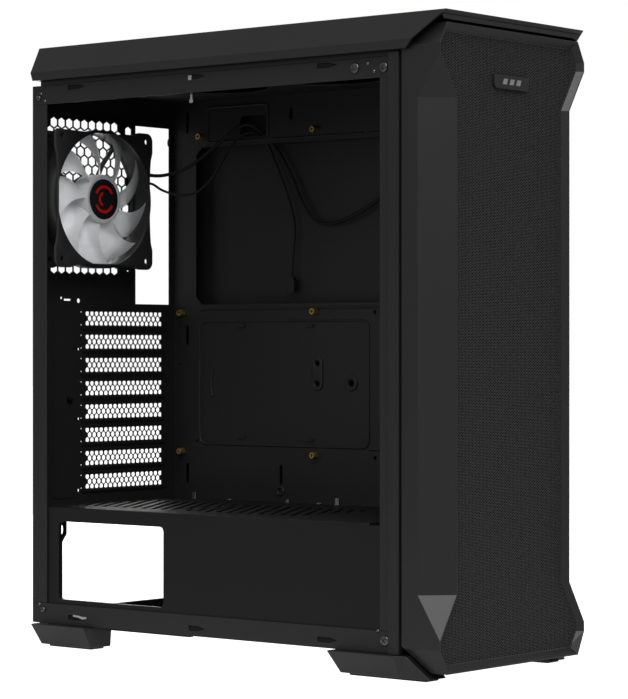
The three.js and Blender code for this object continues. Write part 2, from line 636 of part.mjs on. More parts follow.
function controlBoard() {
  return box(-68, 74, CONTROLS_Y - 12, CONTROLS_Y + 12, BOARD_TOP - BOARD_THICKNESS, BOARD_TOP);
}

function button(x, radius, proud) {
  const top = COVER_TOP + proud;
  const stem = radius * 0.4;
  return turned('Z', [
    [0, BOARD_TOP + BUTTON_TRAVEL + GAP], [stem, BOARD_TOP + BUTTON_TRAVEL + GAP], [stem, top - 5],
    [radius, top - 5], [radius, top - 0.6], [radius - 0.6, top], [0, top],
  ], [x, CONTROLS_Y, 0]);
}

function usbPort(x) {
  const shell = box(x - 6.6, x + 6.6, CONTROLS_Y - 2.9, CONTROLS_Y + 2.9, BOARD_TOP + GAP, COVER_TOP - 0.2);
  const mouth = box(x - 6.1, x + 6.1, CONTROLS_Y - 2.4, CONTROLS_Y + 2.4, BOARD_TOP + 4, COVER_TOP + 1);
  const tongue = box(x - 5.6, x + 5.6, CONTROLS_Y - 1.9, CONTROLS_Y - 0.3, BOARD_TOP + 3, COVER_TOP - 1.5);
  return join(cut(shell, mouth), tongue);
}

function audioJack(x) {
  const top = COVER_TOP - 0.2;
  return turned('Z', [
    [0, BOARD_TOP + GAP], [4, BOARD_TOP + GAP], [4, top], [1.9, top], [1.9, BOARD_TOP + 3], [0, BOARD_TOP + 3],
  ], [x, CONTROLS_Y, 0]);
}

// ---------------------------------------------------------------- front bezel

// Cross-section away from the waist, drawn in (X, Z)
function bezelSection(inset) {
  const [end, wide] = [BEZEL_END_HALF - inset * 0.7, BEZEL_HALF - inset];
  const [top, bottom] = [BEZEL_TOP - inset, BEZEL_BOTTOM + inset];
  const [high, low] = [SHOULDER_TOP[2], SHOULDER_BOTTOM[2]];
  return polygon([
    [-end, bottom], [end, bottom], [wide, low], [wide, high], [end, top], [-end, top], [-wide, high], [-wide, low]]);
}

// Outline of the front face with the waist, drawn in (X, Z)
function frontOutline(inset) {
  const right = [
    [BEZEL_END_HALF - inset * 0.7, BEZEL_BOTTOM + inset],
    [BEZEL_HALF - inset, SHOULDER_BOTTOM[2]],
    [BEZEL_HALF - inset, SHOULDER_BOTTOM[1]],
    [WAIST_HALF - inset, SHOULDER_BOTTOM[0]],
    [WAIST_HALF - inset, SHOULDER_TOP[0]],
    [BEZEL_HALF - inset, SHOULDER_TOP[1]],
    [BEZEL_HALF - inset, SHOULDER_TOP[2]],
    [BEZEL_END_HALF - inset * 0.7, BEZEL_TOP - inset],
  ];
  return [...right, ...right.map(([x, z]) => [-x, z]).reverse()];
}

// What the waist takes off one side: it grows outwards from the 45-degree waist face, and its
// sloping ends leave the two triangles above and below the waist.
function waistCutter(side, inset) {
  const diagonal = Math.SQRT1_2;
  const depth = (BEZEL_HALF - WAIST_HALF) * diagonal;
  const reach = 60;
  const section = (out) => {
    const low = SHOULDER_BOTTOM[0] - (SHOULDER_BOTTOM[0] - SHOULDER_BOTTOM[1]) * out / depth - inset * 2.4;
    const high = SHOULDER_TOP[0] + (SHOULDER_TOP[1] - SHOULDER_TOP[0]) * out / depth + inset * 2.4;
    return [[-reach, low], [reach, low], [reach, high], [-reach, high]].map(([along, z]) => [
      side * (WAIST_HALF + (out + along) * diagonal), BEZEL_FRONT + (along - out) * diagonal, z]);
  };
  return loft(section(-inset), section(depth * 1.4));
}

function bezelBody(inset, y0, y1) {
  const block = extrude('Y', bezelSection(inset), y0, y1);
  return cut(block, waistCutter(-1, inset), waistCutter(1, inset));
}

function frontBezel() {
  const at = (outline, y) => outline.map(([x, z]) => [x, y, z]);
  const seat = at(frontOutline(RIM), BEZEL_FRONT + MESH_RECESS + 1);
  const rim = loft(seat, at(frontOutline(1.2), BEZEL_FRONT - 0.1));
  const corner = polygon([[BEZEL_REAR + 1, 28.2], [BEZEL_REAR + 1, 0], [-213.4, 0]]);
  const diagonal = extrude('X', corner, -100, 100);
  const shell = cut(bezelBody(0, BEZEL_FRONT, BEZEL_REAR),
    bezelBody(BEZEL_WALL, BEZEL_FRONT + MESH_RECESS, BEZEL_REAR + 1), rim, diagonal);
  const { radius, lug } = BEZEL_PIN;
  const pins = BEZEL_PINS.flatMap(([x, z]) => [
    box(x - (x < 0 ? 12 : 4), x + (x < 0 ? 4 : 12), BEZEL_REAR - lug, BEZEL_REAR - lug / 2, z - lug, z + lug),
    extrude('Y', disc(x, z, radius), BEZEL_REAR - 4, FRONT + 6, [], 4),
  ]);
  return join(shell, ...pins);
}

function frontMesh() {
  const y = BEZEL_FRONT + MESH_RECESS + GAP;
  return extrude('Y', polygon(frontOutline(MESH_INSET)), y, y + 1);
}

function badge() {
  const y = BEZEL_FRONT + MESH_RECESS;
  const { half, bottomHalf, z0, corner, z1 } = BADGE;
  const outline = [[-bottomHalf, z0], [bottomHalf, z0], [half, corner], [half, z1], [-half, z1], [-half, corner]];
  return extrude('Y', polygon(outline), y - 2, y);
}

// ---------------------------------------------------------------- right panel, feet, drive bay

function rightSidePanel() {
  const x0 = RIGHT + GAP;
  const x1 = x0 + SHEET;
  const rear = REAR + GAP;
  const skin = box(x0, x1, FRONT + STRIP_DEPTH + GAP, rear + SHEET, FLOOR + 1, ROOF + 1);
  const fold = extrude('Y', rectangle(x1 - 15, x1, FLOOR + 1, ROOF + 1), rear, rear + SHEET,
    THUMBSCREW_Z.map((z) => disc(THUMBSCREW_X, z, 2.2)));
  return join(skin, fold);
}

// Foot with a slanted outer side; top and bottom are corner lists on the right of the case
function foot(side, top, bottom) {
  const place = (corners, z) => corners.map(([x, y]) => [x * side, y, z]);
  const block = loft(place(bottom, 2), place(top, FOOT_TOP));
  const [low, high] = [bottom[0][1], bottom[bottom.length - 1][1]].sort((a, b) => a - b);
  const [inner, outer] = FOOT_PAD.map((x) => x * side).sort((a, b) => a - b);
  const pad = box(inner, outer, low + 5, high - 5, 0, 2.5);
  return join(block, pad);
}

const FOOT_PAD = [73, 89];      // along X
const REAR_FOOT = {
  top: [[68.5, 146], [COVER_EDGE, 146], [COVER_EDGE, 208.5], [68.5, 208.5]],
  bottom: [[70, 146], [93.8, 146], [93.8, 205], [70, 205]],
};
const FRONT_FOOT = {
  top: [[68.5, -190], [100, -190], [COVER_EDGE, -181], [COVER_EDGE, -115.5], [68.5, -115.5]],
  bottom: [[70, -207], [91, -207], [93.8, -181], [93.8, -122], [70, -122]],
};

function psuFilter() {
  const { x, y0, y1, z0, z1, tab, tabEnd, tabTop } = FLOOR_FILTER;
  return join(box(-x, x, y0, y1, z0, z1), box(-tab, tab, y1 - 1, tabEnd, z0, tabTop));
}

function driveCage() {
  const { x0, x1, y0, y1, z0, shelf } = CAGE;
  const cells = [0, 1].map((i) => rectangle(
    y0 + SHEET, y1 - SHEET, z0 + SHEET + i * shelf, z0 + (i + 1) * shelf));
  return extrude('X', rectangle(y0, y1, z0, z0 + 2 * shelf + SHEET), x0, x1, cells);
}

function driveTray(index) {
  const { x0, x1, y0, y1, z0, shelf } = CAGE;
  const z = z0 + SHEET + GAP + index * shelf;
  const [a, b] = [y0 + SHEET + 0.5, y1 - SHEET - 0.5];
  const channel = polygon([
    [a, z], [b, z], [b, z + 16], [b - 2, z + 16], [b - 2, z + 2], [a + 2, z + 2], [a + 2, z + 16], [a, z + 16]]);
  return join(extrude('X', channel, x0, x1 - 2), box(x1 - 4, x1, a, b, z, z + 27));
}

// ---------------------------------------------------------------- assembly

add('rear_panel', rearPanel(), STEEL);
add('roof_panel', roofPanel(), STEEL);
add('floor_pan', floorPan(), STEEL);
add('front_wall', frontWall(), STEEL);
add('motherboard_tray', motherboardTray(), STEEL);
add('psu_shroud', psuShroud(), STEEL);
standoffs.forEach(([y, z], i) => add(`standoff_${i + 1}`, standoff(y, z), BRASS));

for (let i = 0; i < SLOT_COUNT; i += 1) add(`slot_cover_${i + 1}`, slotCover(i), STEEL);
add('slot_clamp', slotClamp(), STEEL);
add('slot_clamp_screw', screw(CLAMP.screwX, slotZ(3.5), CLAMP_Y + SHEET + GAP, 5, 5.6, 1.7, 8), ZINC);

add('rear_fan_frame', fanFrame(), PLASTIC);
add('rear_fan_rotor', fanRotor(), FROSTED);
fanHoles.forEach(([x, z], i) => add(`fan_screw_${i + 1}`, screw(x, z, REAR + GAP, 4, 2.2, 1.8, 12), ZINC));
add('fan_power_lead', lead(POWER_LEAD), CABLE);
add('fan_light_lead', lead(LIGHT_LEAD), CABLE);
add('power_lead_connector', connector(POWER_LEAD.points.at(-1), 11, 15), CABLE);
add('light_lead_connector', connector(LIGHT_LEAD.points.at(-1), 8.5, 13), CABLE);
add('lead_clip', leadClip(), PLASTIC);

add('top_cover', topCover(), PLASTIC);
add('top_filter', topFilter(), MESH);
add('control_board', controlBoard(), BOARD);
add('power_button', button(0, POWER_RADIUS, 0.7), PLASTIC);
add('reset_button', button(RESET_X, RESET_RADIUS, 0.3), PLASTIC);
Object.entries(PORTS).forEach(([name, x]) => add(name, usbPort(x), ZINC));
Object.entries(JACKS).forEach(([name, x]) => add(name, audioJack(x), PLASTIC));

add('front_bezel', frontBezel(), PLASTIC);
add('front_mesh', frontMesh(), MESH);
add('badge', badge(), PLASTIC);

add('right_side_panel', rightSidePanel(), STEEL);
THUMBSCREW_Z.forEach((z, i) => add(
  `panel_thumbscrew_${i + 1}`, screw(THUMBSCREW_X, z, REAR + GAP + SHEET + GAP, 5.5, 7.4, 1.8, 8), ZINC));

add('rear_left_foot', foot(-1, REAR_FOOT.top, REAR_FOOT.bottom), PLASTIC);
add('rear_right_foot', foot(1, REAR_FOOT.top, REAR_FOOT.bottom), PLASTIC);
add('front_left_foot', foot(-1, FRONT_FOOT.top, FRONT_FOOT.bottom), PLASTIC);
add('front_right_foot', foot(1, FRONT_FOOT.top, FRONT_FOOT.bottom), PLASTIC);
add('psu_filter', psuFilter(), MESH);
add('drive_cage', driveCage(), STEEL);
[0, 1].forEach((i) => add(`drive_tray_${i + 1}`, driveTray(i), PLASTIC));

export default tower;
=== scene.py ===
"""Visual model of an empty mid-tower computer case with its left side panel off."""

import json
import math

import bmesh
import bpy
from mathutils import Matrix, Vector
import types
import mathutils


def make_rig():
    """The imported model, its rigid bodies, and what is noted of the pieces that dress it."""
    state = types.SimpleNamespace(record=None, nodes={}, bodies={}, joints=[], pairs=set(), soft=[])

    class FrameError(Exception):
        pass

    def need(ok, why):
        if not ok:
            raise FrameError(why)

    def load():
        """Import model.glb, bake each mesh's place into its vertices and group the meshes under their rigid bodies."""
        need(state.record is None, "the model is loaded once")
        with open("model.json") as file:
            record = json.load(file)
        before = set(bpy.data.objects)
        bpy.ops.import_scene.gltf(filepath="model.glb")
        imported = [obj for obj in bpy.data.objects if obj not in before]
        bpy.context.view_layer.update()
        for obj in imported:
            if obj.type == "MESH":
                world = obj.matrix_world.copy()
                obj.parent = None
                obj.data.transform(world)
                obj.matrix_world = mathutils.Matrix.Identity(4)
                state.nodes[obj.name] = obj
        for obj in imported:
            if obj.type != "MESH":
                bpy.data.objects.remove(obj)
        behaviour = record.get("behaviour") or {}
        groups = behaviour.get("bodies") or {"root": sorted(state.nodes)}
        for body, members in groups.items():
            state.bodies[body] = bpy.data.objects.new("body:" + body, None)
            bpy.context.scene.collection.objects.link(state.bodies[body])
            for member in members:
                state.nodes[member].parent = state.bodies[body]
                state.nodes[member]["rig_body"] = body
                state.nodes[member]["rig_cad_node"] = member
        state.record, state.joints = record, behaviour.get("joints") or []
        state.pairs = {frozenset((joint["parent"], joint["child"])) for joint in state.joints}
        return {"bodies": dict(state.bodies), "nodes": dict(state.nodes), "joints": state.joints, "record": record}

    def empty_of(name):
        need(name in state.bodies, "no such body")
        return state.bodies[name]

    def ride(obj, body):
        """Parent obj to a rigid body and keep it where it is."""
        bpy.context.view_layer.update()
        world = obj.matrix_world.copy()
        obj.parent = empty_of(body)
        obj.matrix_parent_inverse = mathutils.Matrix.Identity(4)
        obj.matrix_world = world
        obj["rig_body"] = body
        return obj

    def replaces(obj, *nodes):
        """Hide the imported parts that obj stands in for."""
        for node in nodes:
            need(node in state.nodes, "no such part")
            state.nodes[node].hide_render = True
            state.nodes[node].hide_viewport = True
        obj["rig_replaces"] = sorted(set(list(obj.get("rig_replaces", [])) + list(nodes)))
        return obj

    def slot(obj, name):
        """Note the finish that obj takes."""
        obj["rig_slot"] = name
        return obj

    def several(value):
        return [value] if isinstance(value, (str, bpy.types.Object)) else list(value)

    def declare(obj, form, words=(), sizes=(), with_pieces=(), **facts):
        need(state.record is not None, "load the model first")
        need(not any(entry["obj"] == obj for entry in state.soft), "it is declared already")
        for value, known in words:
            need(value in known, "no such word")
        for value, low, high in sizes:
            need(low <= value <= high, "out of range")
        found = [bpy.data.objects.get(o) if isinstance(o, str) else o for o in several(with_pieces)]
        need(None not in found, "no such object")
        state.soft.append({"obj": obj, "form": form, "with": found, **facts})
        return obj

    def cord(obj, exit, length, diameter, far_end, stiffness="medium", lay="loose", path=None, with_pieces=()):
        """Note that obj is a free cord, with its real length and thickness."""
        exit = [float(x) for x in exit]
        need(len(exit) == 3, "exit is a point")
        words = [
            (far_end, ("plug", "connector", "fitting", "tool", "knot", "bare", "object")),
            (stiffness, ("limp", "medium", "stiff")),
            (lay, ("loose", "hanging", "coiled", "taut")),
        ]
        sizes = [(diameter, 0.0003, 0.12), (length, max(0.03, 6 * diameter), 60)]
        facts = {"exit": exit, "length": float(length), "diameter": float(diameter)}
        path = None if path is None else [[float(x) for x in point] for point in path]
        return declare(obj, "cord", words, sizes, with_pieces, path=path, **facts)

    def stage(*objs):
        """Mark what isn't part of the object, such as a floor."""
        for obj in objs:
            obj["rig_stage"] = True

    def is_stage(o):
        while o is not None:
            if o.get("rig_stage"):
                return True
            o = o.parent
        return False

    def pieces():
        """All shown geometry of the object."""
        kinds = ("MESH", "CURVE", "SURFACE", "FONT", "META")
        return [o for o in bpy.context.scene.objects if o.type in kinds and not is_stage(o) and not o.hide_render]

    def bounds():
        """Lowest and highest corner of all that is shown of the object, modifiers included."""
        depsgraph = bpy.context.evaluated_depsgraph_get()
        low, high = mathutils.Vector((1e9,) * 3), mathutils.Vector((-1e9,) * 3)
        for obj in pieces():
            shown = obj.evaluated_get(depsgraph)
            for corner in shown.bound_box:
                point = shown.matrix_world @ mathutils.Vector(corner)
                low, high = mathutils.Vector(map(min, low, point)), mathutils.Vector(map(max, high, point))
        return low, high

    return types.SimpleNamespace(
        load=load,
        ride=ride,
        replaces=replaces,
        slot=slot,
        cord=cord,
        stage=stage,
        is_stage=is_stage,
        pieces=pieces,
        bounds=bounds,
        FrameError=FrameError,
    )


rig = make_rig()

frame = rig.load()
CAD_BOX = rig.bounds()

bl_info = {
    "name": "Mid-tower case",
    "version": (1, 0, 0),
    "blender": (4, 5, 0),
    "location": "View3D > Sidebar > Tower",
    "description": "Builds the looks of an open mid-tower computer case piece by piece",
    "category": "Object",
}

MM = 0.001          # every size below is in millimetres and becomes metres in the meshes
FULL_TURN = 2 * math.pi
QUARTER = math.pi / 2

# Case sheets, shared by several pieces
LEFT, RIGHT = -94.5, 96
FLOOR, ROOF = 20, 477
REAR = 214.5
SHEET = 1
GAP = 0.3
TRAY_X = 83
SHROUD_TOP = 118.9

# Rear fan: X and Z of its axis and its screws
FAN_CENTRE = (-32.35, 382.6)
FAN_SCREWS = [(FAN_CENTRE[0] + i * 52.5, FAN_CENTRE[1] + k * 52.5) for i in (-1, 1) for k in (-1, 1)]
FAN_FRONT, FAN_REAR = 188.5, 213.2
FAN_BORE = 58
HUB_RADIUS = 21.5
BLADE_TIP = 56.4

# Expansion slots, their clamp and the right panel's thumbscrews
SLOT_COUNT = 8
SLOT_PITCH = 20.32
TOP_SLOT_Z = 279.7
COVER_SHEET = 0.8
CLAMP_X = -52
PANEL_SCREWS_Z = (62, 440)

# Top cover, and the board and sockets under it
COVER_TOP = 509.3
BOARD_LOW, BOARD_SHEET = 493.6, 1.2
CONTROLS_Y = -165

BEZEL_BACK = -216.2

# A swept square's diagonal, as a multiple of its side
SQUARE_SECTION = 1.414

# A rounded copy's faces larger than this (m2) are flat walls, and are not shaded into their edges.
FLAT_FACE_AREA = 12e-6


# ---------------------------------------------------------------- node expressions

def math_methods(operation):
    """Field methods that add one Math node, with the terms in order and swapped."""
    return (lambda self, other: self.math(operation, self, other),
            lambda self, other: self.math(operation, other, self))


class Field:
    """A socket's value in a node tree. Arithmetic on it adds Math nodes."""

    def __init__(self, graph, socket):
        self.graph = graph
        self.socket = socket

    def math(self, operation, *terms):
        return self.graph.node("ShaderNodeMath", {"operation": operation}, dict(enumerate(terms)))

    __add__, __radd__ = math_methods("ADD")
    __sub__, __rsub__ = math_methods("SUBTRACT")
    __mul__, __rmul__ = math_methods("MULTIPLY")
    __truediv__, __rtruediv__ = math_methods("DIVIDE")
    __mod__ = math_methods("FLOORED_MODULO")[0]
    __gt__ = math_methods("GREATER_THAN")[0]
    __lt__ = math_methods("LESS_THAN")[0]

    def __abs__(self):
        return self.math("ABSOLUTE", self)

    def __round__(self):
        return self.math("ROUND", self)


class Graph:
    """Adds nodes to one shader or geometry tree."""

    def __init__(self, tree):
        self.tree = tree

    def node(self, kind, settings=None, inputs=None, output=0):
        made = self.tree.nodes.new(kind)
        for name, value in (settings or {}).items():
            if name == "stops":
                self.set_stops(made.color_ramp, value)
            else:
                setattr(made, name, value)
        for key, value in (inputs or {}).items():
            self.feed(made.inputs[key], value)
        return Field(self, made.outputs[output])

    def feed(self, socket, value):
        if isinstance(value, Field):
            self.tree.links.new(value.socket, socket)
        else:
            socket.default_value = value

    def set_stops(self, ramp, stops):
        while len(ramp.elements) < len(stops):
            ramp.elements.new(1)
        for element, (position, colour) in zip(ramp.elements, stops):
            element.position = position
            element.color = colour

    def split(self, vector):
        made = self.tree.nodes.new("ShaderNodeSeparateXYZ")
        self.feed(made.inputs[0], vector)
        return [Field(self, made.outputs[axis]) for axis in range(3)]

    def combine(self, x, y, z):
        return self.node("ShaderNodeCombineXYZ", inputs={0: x, 1: y, 2: z})

    # Geometry nodes that several trees share

    def geometry(self, kind, first=None, **inputs):
        """A node named without its prefix; first goes into its first socket."""
        sockets = {} if first is None else {0: first}
        sockets.update({name.replace("_", " ").title(): value for name, value in inputs.items()})
        return self.node("GeometryNode" + kind, inputs=sockets)

    def raised(self, shape, height):
        return self.geometry("Transform", shape, translation=self.combine(0.0, 0.0, height))

    def cylinder(self, sides, radius, depth):
        return self.geometry("MeshCylinder", vertices=sides, radius=radius, depth=depth)

    def shank(self, sides, radius, depth):
        """A pin below the seat, sunk slightly into what stands on it."""
        return self.raised(self.cylinder(sides, radius, depth), depth * -0.5 + 0.0002)

    def cube(self, x, y, z):
        return self.geometry("MeshCube", size=self.combine(x, y, z))

    def boolean(self, operation, *tools, body=None):
        made = self.node("GeometryNodeMeshBoolean", {"operation": operation, "solver": "EXACT"},
                         {} if body is None else {0: body})
        for tool in tools:
            self.feed(made.socket.node.inputs[1], tool)
        return made


# ---------------------------------------------------------------- finishes

class Finish(Graph):
    """One procedural material around a Principled shader."""

    def __init__(self, name):
        self.material = bpy.data.materials.new(name)
        self.material.use_nodes = True
        super().__init__(self.material.node_tree)
        self.shader = self.tree.nodes["Principled BSDF"]
        self.place = self.node("ShaderNodeTexCoord", output="Object")

    def noise(self, scale, detail=3.0, roughness=0.5, place=None):
        return self.node("ShaderNodeTexNoise", inputs={
            "Vector": place or self.place, "Scale": scale, "Detail": detail, "Roughness": roughness})

    def blend(self, mask, first, second):
        return self.node("ShaderNodeMix", {"data_type": "RGBA"}, {0: mask, 6: first, 7: second}, output=2)

    def shades(self, mask, colour, dark, light):
        """One colour between two gains."""
        return self.blend(mask, *[(*[c * gain for c in colour], 1) for gain in (dark, light)])

    def ramp(self, value, *stops):
        return self.node("ShaderNodeValToRGB", {"stops": [(at, (v, v, v, 1)) for at, v in stops]}, {0: value})

    def stretched(self, x, y, z):
        return self.node("ShaderNodeMapping", inputs={"Vector": self.place, "Scale": (x, y, z)})

    def bump(self, height, depth, strength=1.0):
        normal = self.node("ShaderNodeBump", inputs={
            "Height": height, "Distance": depth * MM, "Strength": strength})
        self.feed(self.shader.inputs["Normal"], normal)

    def set(self, **values):
        for name, value in values.items():
            self.feed(self.shader.inputs[name.replace("_", " ").title().replace("Ior", "IOR")], value)


def coated_steel(settings, name, gain, shine):
    """Black powder coat: a fine orange peel and slightly uneven gloss."""
    made = Finish(name)
    cloud = made.noise(9, 4)
    fleck = made.noise(2600, 2)
    made.set(base_color=made.shades(cloud * 0.7 + fleck * 0.3, settings.steel_colour, 0.7 * gain, 1.35 * gain),
             roughness=0.42 + cloud * 0.16 + fleck * 0.06, specular_ior_level=shine)
    made.bump(made.noise(1100, 2), 0.05, 0.6)


def moulded_plastic(settings):
    """Spark-eroded ABS: a coarser, matt grain."""
    made = Finish("moulded_plastic")
    cloud = made.noise(14, 3)
    grain = made.noise(1700, 3, 0.65)
    made.set(base_color=made.shades(cloud * 0.5 + grain * 0.5, settings.plastic_colour, 0.65, 1.4),
             roughness=0.27 + grain * 0.14)
    made.bump(grain, 0.05, 0.6)


def mesh_paint(settings):
    """Paint on the front mesh's bars."""
    made = Finish("mesh_paint")
    tone = made.noise(700, 3)
    made.set(base_color=made.shades(tone, settings.mesh_colour, 0.75, 1.3), roughness=0.38 + tone * 0.2)
    made.bump(tone, 0.04, 0.5)


def fan_plastic(settings):
    """Smoother, slightly paler plastic of the fan's frame."""
    made = Finish("fan_plastic")
    cloud = made.noise(60, 3)
    made.set(base_color=made.shades(cloud, settings.plastic_colour, 1.4, 2.3), roughness=0.3 + cloud * 0.16)
    made.bump(made.noise(900, 2), 0.02, 0.5)


def frosted_plastic(settings):
    """Milky translucent polycarbonate of the blades."""
    made = Finish("frosted_plastic")
    cloud = made.noise(70, 3)
    made.set(base_color=made.shades(cloud, settings.blade_colour, 0.94, 1.0),
             roughness=0.34 + cloud * 0.14, transmission_weight=0.3, ior=1.45)
    made.bump(made.noise(1500, 2), 0.02, 0.5)


def turned_metal(name, colour, rough, axis):
    """Machined metal with fine turning marks across one axis."""
    made = Finish(name)
    marks = made.noise(1.0, 3, 0.6, made.stretched(*[4000.0 if i == axis else 200.0 for i in range(3)]))
    made.set(base_color=made.shades(made.noise(300, 2), colour, 0.82, 1.08), metallic=1.0,
             roughness=rough + marks * 0.2)
    made.bump(marks, 0.02, 0.6)


def cable_sheath(settings):
    """Soft black sheath with the faint lay of the wires inside."""
    made = Finish("cable_sheath")
    lay = made.node("ShaderNodeTexWave", {"bands_direction": "DIAGONAL"},
                    {"Vector": made.place, "Scale": 420.0, "Distortion": 1.2, "Detail": 1.0}, output="Fac")
    made.set(base_color=made.shades(lay, settings.cable_colour, 0.7, 1.3), roughness=0.55 + lay * 0.1,
             specular_ior_level=0.3)
    made.bump(lay, 0.12, 0.6)


def plain_moulding(name, colour, rough, grain):
    """Small moulded parts: one colour with a fine grain."""
    made = Finish(name)
    speck = made.noise(grain, 3, 0.6)
    made.set(base_color=made.shades(speck, colour, 0.8, 1.2), roughness=rough + speck * 0.15)
    made.bump(speck, 0.05, 0.5)


def circuit_board():
    """Green solder mask over copper tracks."""
    made = Finish("circuit_board")
    tracks = made.node("ShaderNodeTexBrick", {"offset": 0.35}, {
        "Vector": made.stretched(260, 260, 260), "Color1": (0, 0, 0, 1), "Color2": (0.25, 0.25, 0.25, 1),
        "Mortar": (1, 1, 1, 1), "Scale": 1.0, "Mortar Size": 0.05, "Mortar Smooth": 0.2}, output="Color")
    mask = made.ramp(tracks, (0.4, 0), (0.8, 1))
    made.set(base_color=made.blend(mask, (0.004, 0.03, 0.014, 1), (0.012, 0.085, 0.035, 1)),
             roughness=0.28 + made.noise(900, 2) * 0.15)
    made.bump(mask, 0.05, 0.6)


# ---------------------------------------------------------------- settings

def colour_property(label, about, default):
    return bpy.props.FloatVectorProperty(name=label, description=about, subtype="COLOR", size=3, min=0, max=1,
                                         default=default)


def length_property(label, about, default):
    """default is in millimetres."""
    return bpy.props.FloatProperty(name=label, description=about, subtype="DISTANCE", unit="LENGTH", min=0,
                                   precision=5, default=default * MM)


def amount_property(label, about, default, unit="NONE"):
    return bpy.props.FloatProperty(name=label, description=about, min=0, unit=unit, default=default)


class TowerFinishSettings(bpy.types.PropertyGroup):
    steel_colour: colour_property("Steel", "Colour of the powder-coated sheets", (0.0090, 0.0090, 0.0094))
    plastic_colour: colour_property("Plastic", "Colour of the moulded black parts", (0.0130, 0.0130, 0.0134))
    mesh_colour: colour_property("Mesh", "Colour of the front mesh's paint", (0.036, 0.036, 0.037))
    blade_colour: colour_property("Blades", "Colour of the frosted fan blades", (0.93, 0.94, 0.96))
    cable_colour: colour_property("Cable", "Colour of the fan leads", (0.007, 0.007, 0.0075))
    brass_colour: colour_property("Brass", "Colour of the standoffs", (0.98, 0.82, 0.42))
    zinc_colour: colour_property("Zinc", "Colour of the bright screws and ports", (0.62, 0.62, 0.64))
    mark_colour: colour_property("Hub mark", "Colour of the rings on the fan's hub", (0.62, 0.012, 0.010))
    port_colour: colour_property("Fast port", "Colour of the tongue in the fast USB port", (0.01, 0.09, 0.55))


class TowerPatternSettings(bpy.types.PropertyGroup):
    slot_hole: length_property("Slot cover hole", "Radius of one hole in a slot cover", 2.45)
    slot_pitch: length_property("Slot cover pitch", "Distance between the holes of a slot cover", 5.83)
    honeycomb_hole: length_property("Honeycomb hole", "Radius of one hexagon behind the fan", 4.75)
    honeycomb_pitch: length_property("Honeycomb pitch", "Distance between the hexagons behind the fan", 9.4)
    mesh_width: length_property("Mesh diamond width", "Width of one diamond of the front mesh", 3.63)
    mesh_height: length_property("Mesh diamond height", "Height of one diamond of the front mesh", 2.29)
    mesh_bar: length_property("Mesh bar", "Width of one bar of the front mesh", 1.05)
    filter_pitch: length_property("Filter pitch", "Distance between the threads of the dust filters", 1.7)
    filter_thread: length_property("Filter thread", "Width of one thread of the dust filters", 0.55)
    blade_count: bpy.props.IntProperty(name="Blades", description="Number of fan blades", min=3, max=15,
                                       default=9)


class TowerStageSettings(bpy.types.PropertyGroup):
    background: amount_property("Background", "Brightness of the white backdrop", 1.0)
    room_light: amount_property("Room light", "Light from the room on the tower", 0.32)
    floor_glow: amount_property("Floor glow", "Light from under the white floor", 0.5)
    key_power: amount_property("Key light", "Power of the large light over the open side", 44, "POWER")
    back_power: amount_property("Back light", "Power of the light behind the rear panel", 32, "POWER")
    lens: amount_property("Lens", "Focal length of the camera in millimetres", 140.07)


# ---------------------------------------------------------------- outlines

def around(a, b, radius, angle):
    return a + radius * math.cos(angle), b + radius * math.sin(angle)


def ring(a, b, radius, sides=24, turn=0.0):
    return [around(a, b, radius, FULL_TURN * i / sides + turn) for i in range(sides)]


def rectangle(a0, a1, b0, b1, radius=0, steps=4):
    if radius == 0:
        return [(a0, b0), (a1, b0), (a1, b1), (a0, b1)]
    corners = [(a1 - radius, b1 - radius), (a0 + radius, b1 - radius), (a0 + radius, b0 + radius),
               (a1 - radius, b0 + radius)]
    return [around(a, b, radius, (k + i / steps) * QUARTER)
            for k, (a, b) in enumerate(corners) for i in range(steps + 1)]


def box(a, b, half_a, half_b, radius=0, steps=4):
    """A rectangle from its middle and half its sides."""
    return rectangle(a - half_a, a + half_a, b - half_b, b + half_b, radius, steps)


def band(a, b, outer, inner, start, end, steps):
    """A bent strip between two radii and two angles."""
    angles = [start + (end - start) * k / steps for k in range(steps + 1)]
    return [around(a, b, outer, angle) for angle in angles] + [
        around(a, b, inner, angle) for angle in reversed(angles)]


# ---------------------------------------------------------------- pieces

def material(name):
    return bpy.data.materials[name]


def mm(*lengths):
    return tuple(length * MM for length in lengths)


def new_piece(name, mesh, finish_name):
    """An object at the origin with its mesh in place and one finish on every face."""
    mesh.materials.clear()
    mesh.materials.append(material(finish_name))
    for face in mesh.polygons:
        face.material_index = 0
    piece = bpy.data.objects.new(name, mesh)
    bpy.context.scene.collection.objects.link(piece)
    return piece


def smooth(mesh, degrees=32):
    for face in mesh.polygons:
        face.use_smooth = True
    mesh.set_sharp_from_angle(angle=math.radians(degrees))


def bevelled(piece, width, segments=2, degrees=28):
    """Rounds a piece's edges and applies the result to its mesh."""
    modifier = piece.modifiers.new("Edges", "BEVEL")
    modifier.width = width * MM
    modifier.segments = segments
    modifier.limit_method = "ANGLE"
    modifier.angle_limit = math.radians(degrees)
    modifier.use_clamp_overlap = True
    modifier.loop_slide = True
    piece.data = evaluated_mesh(piece)
    piece.modifiers.clear()


def evaluated_mesh(piece):
    """A plain mesh of a piece with its modifiers applied."""
    bpy.context.view_layer.update()
    return bpy.data.meshes.new_from_object(piece.evaluated_get(bpy.context.evaluated_depsgraph_get()))


def settle(piece, body, slot, *nodes, crisp=None):
    """Says which body a piece moves with, whose finish it takes and which CAD nodes it stands for.
    Edges that bend by more than crisp degrees stay sharp, and the rest are shaded smooth."""
    if crisp:
        smooth(piece.data, crisp)
    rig.ride(piece, body)
    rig.slot(piece, slot)
    if nodes:
        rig.replaces(piece, *nodes)
    return piece


def in_plane(axis, a, b, c):
    """A point from two coordinates across an axis and one along it."""
    return {"X": (c, a, b), "Y": (a, c, b), "Z": (a, b, c)}[axis]


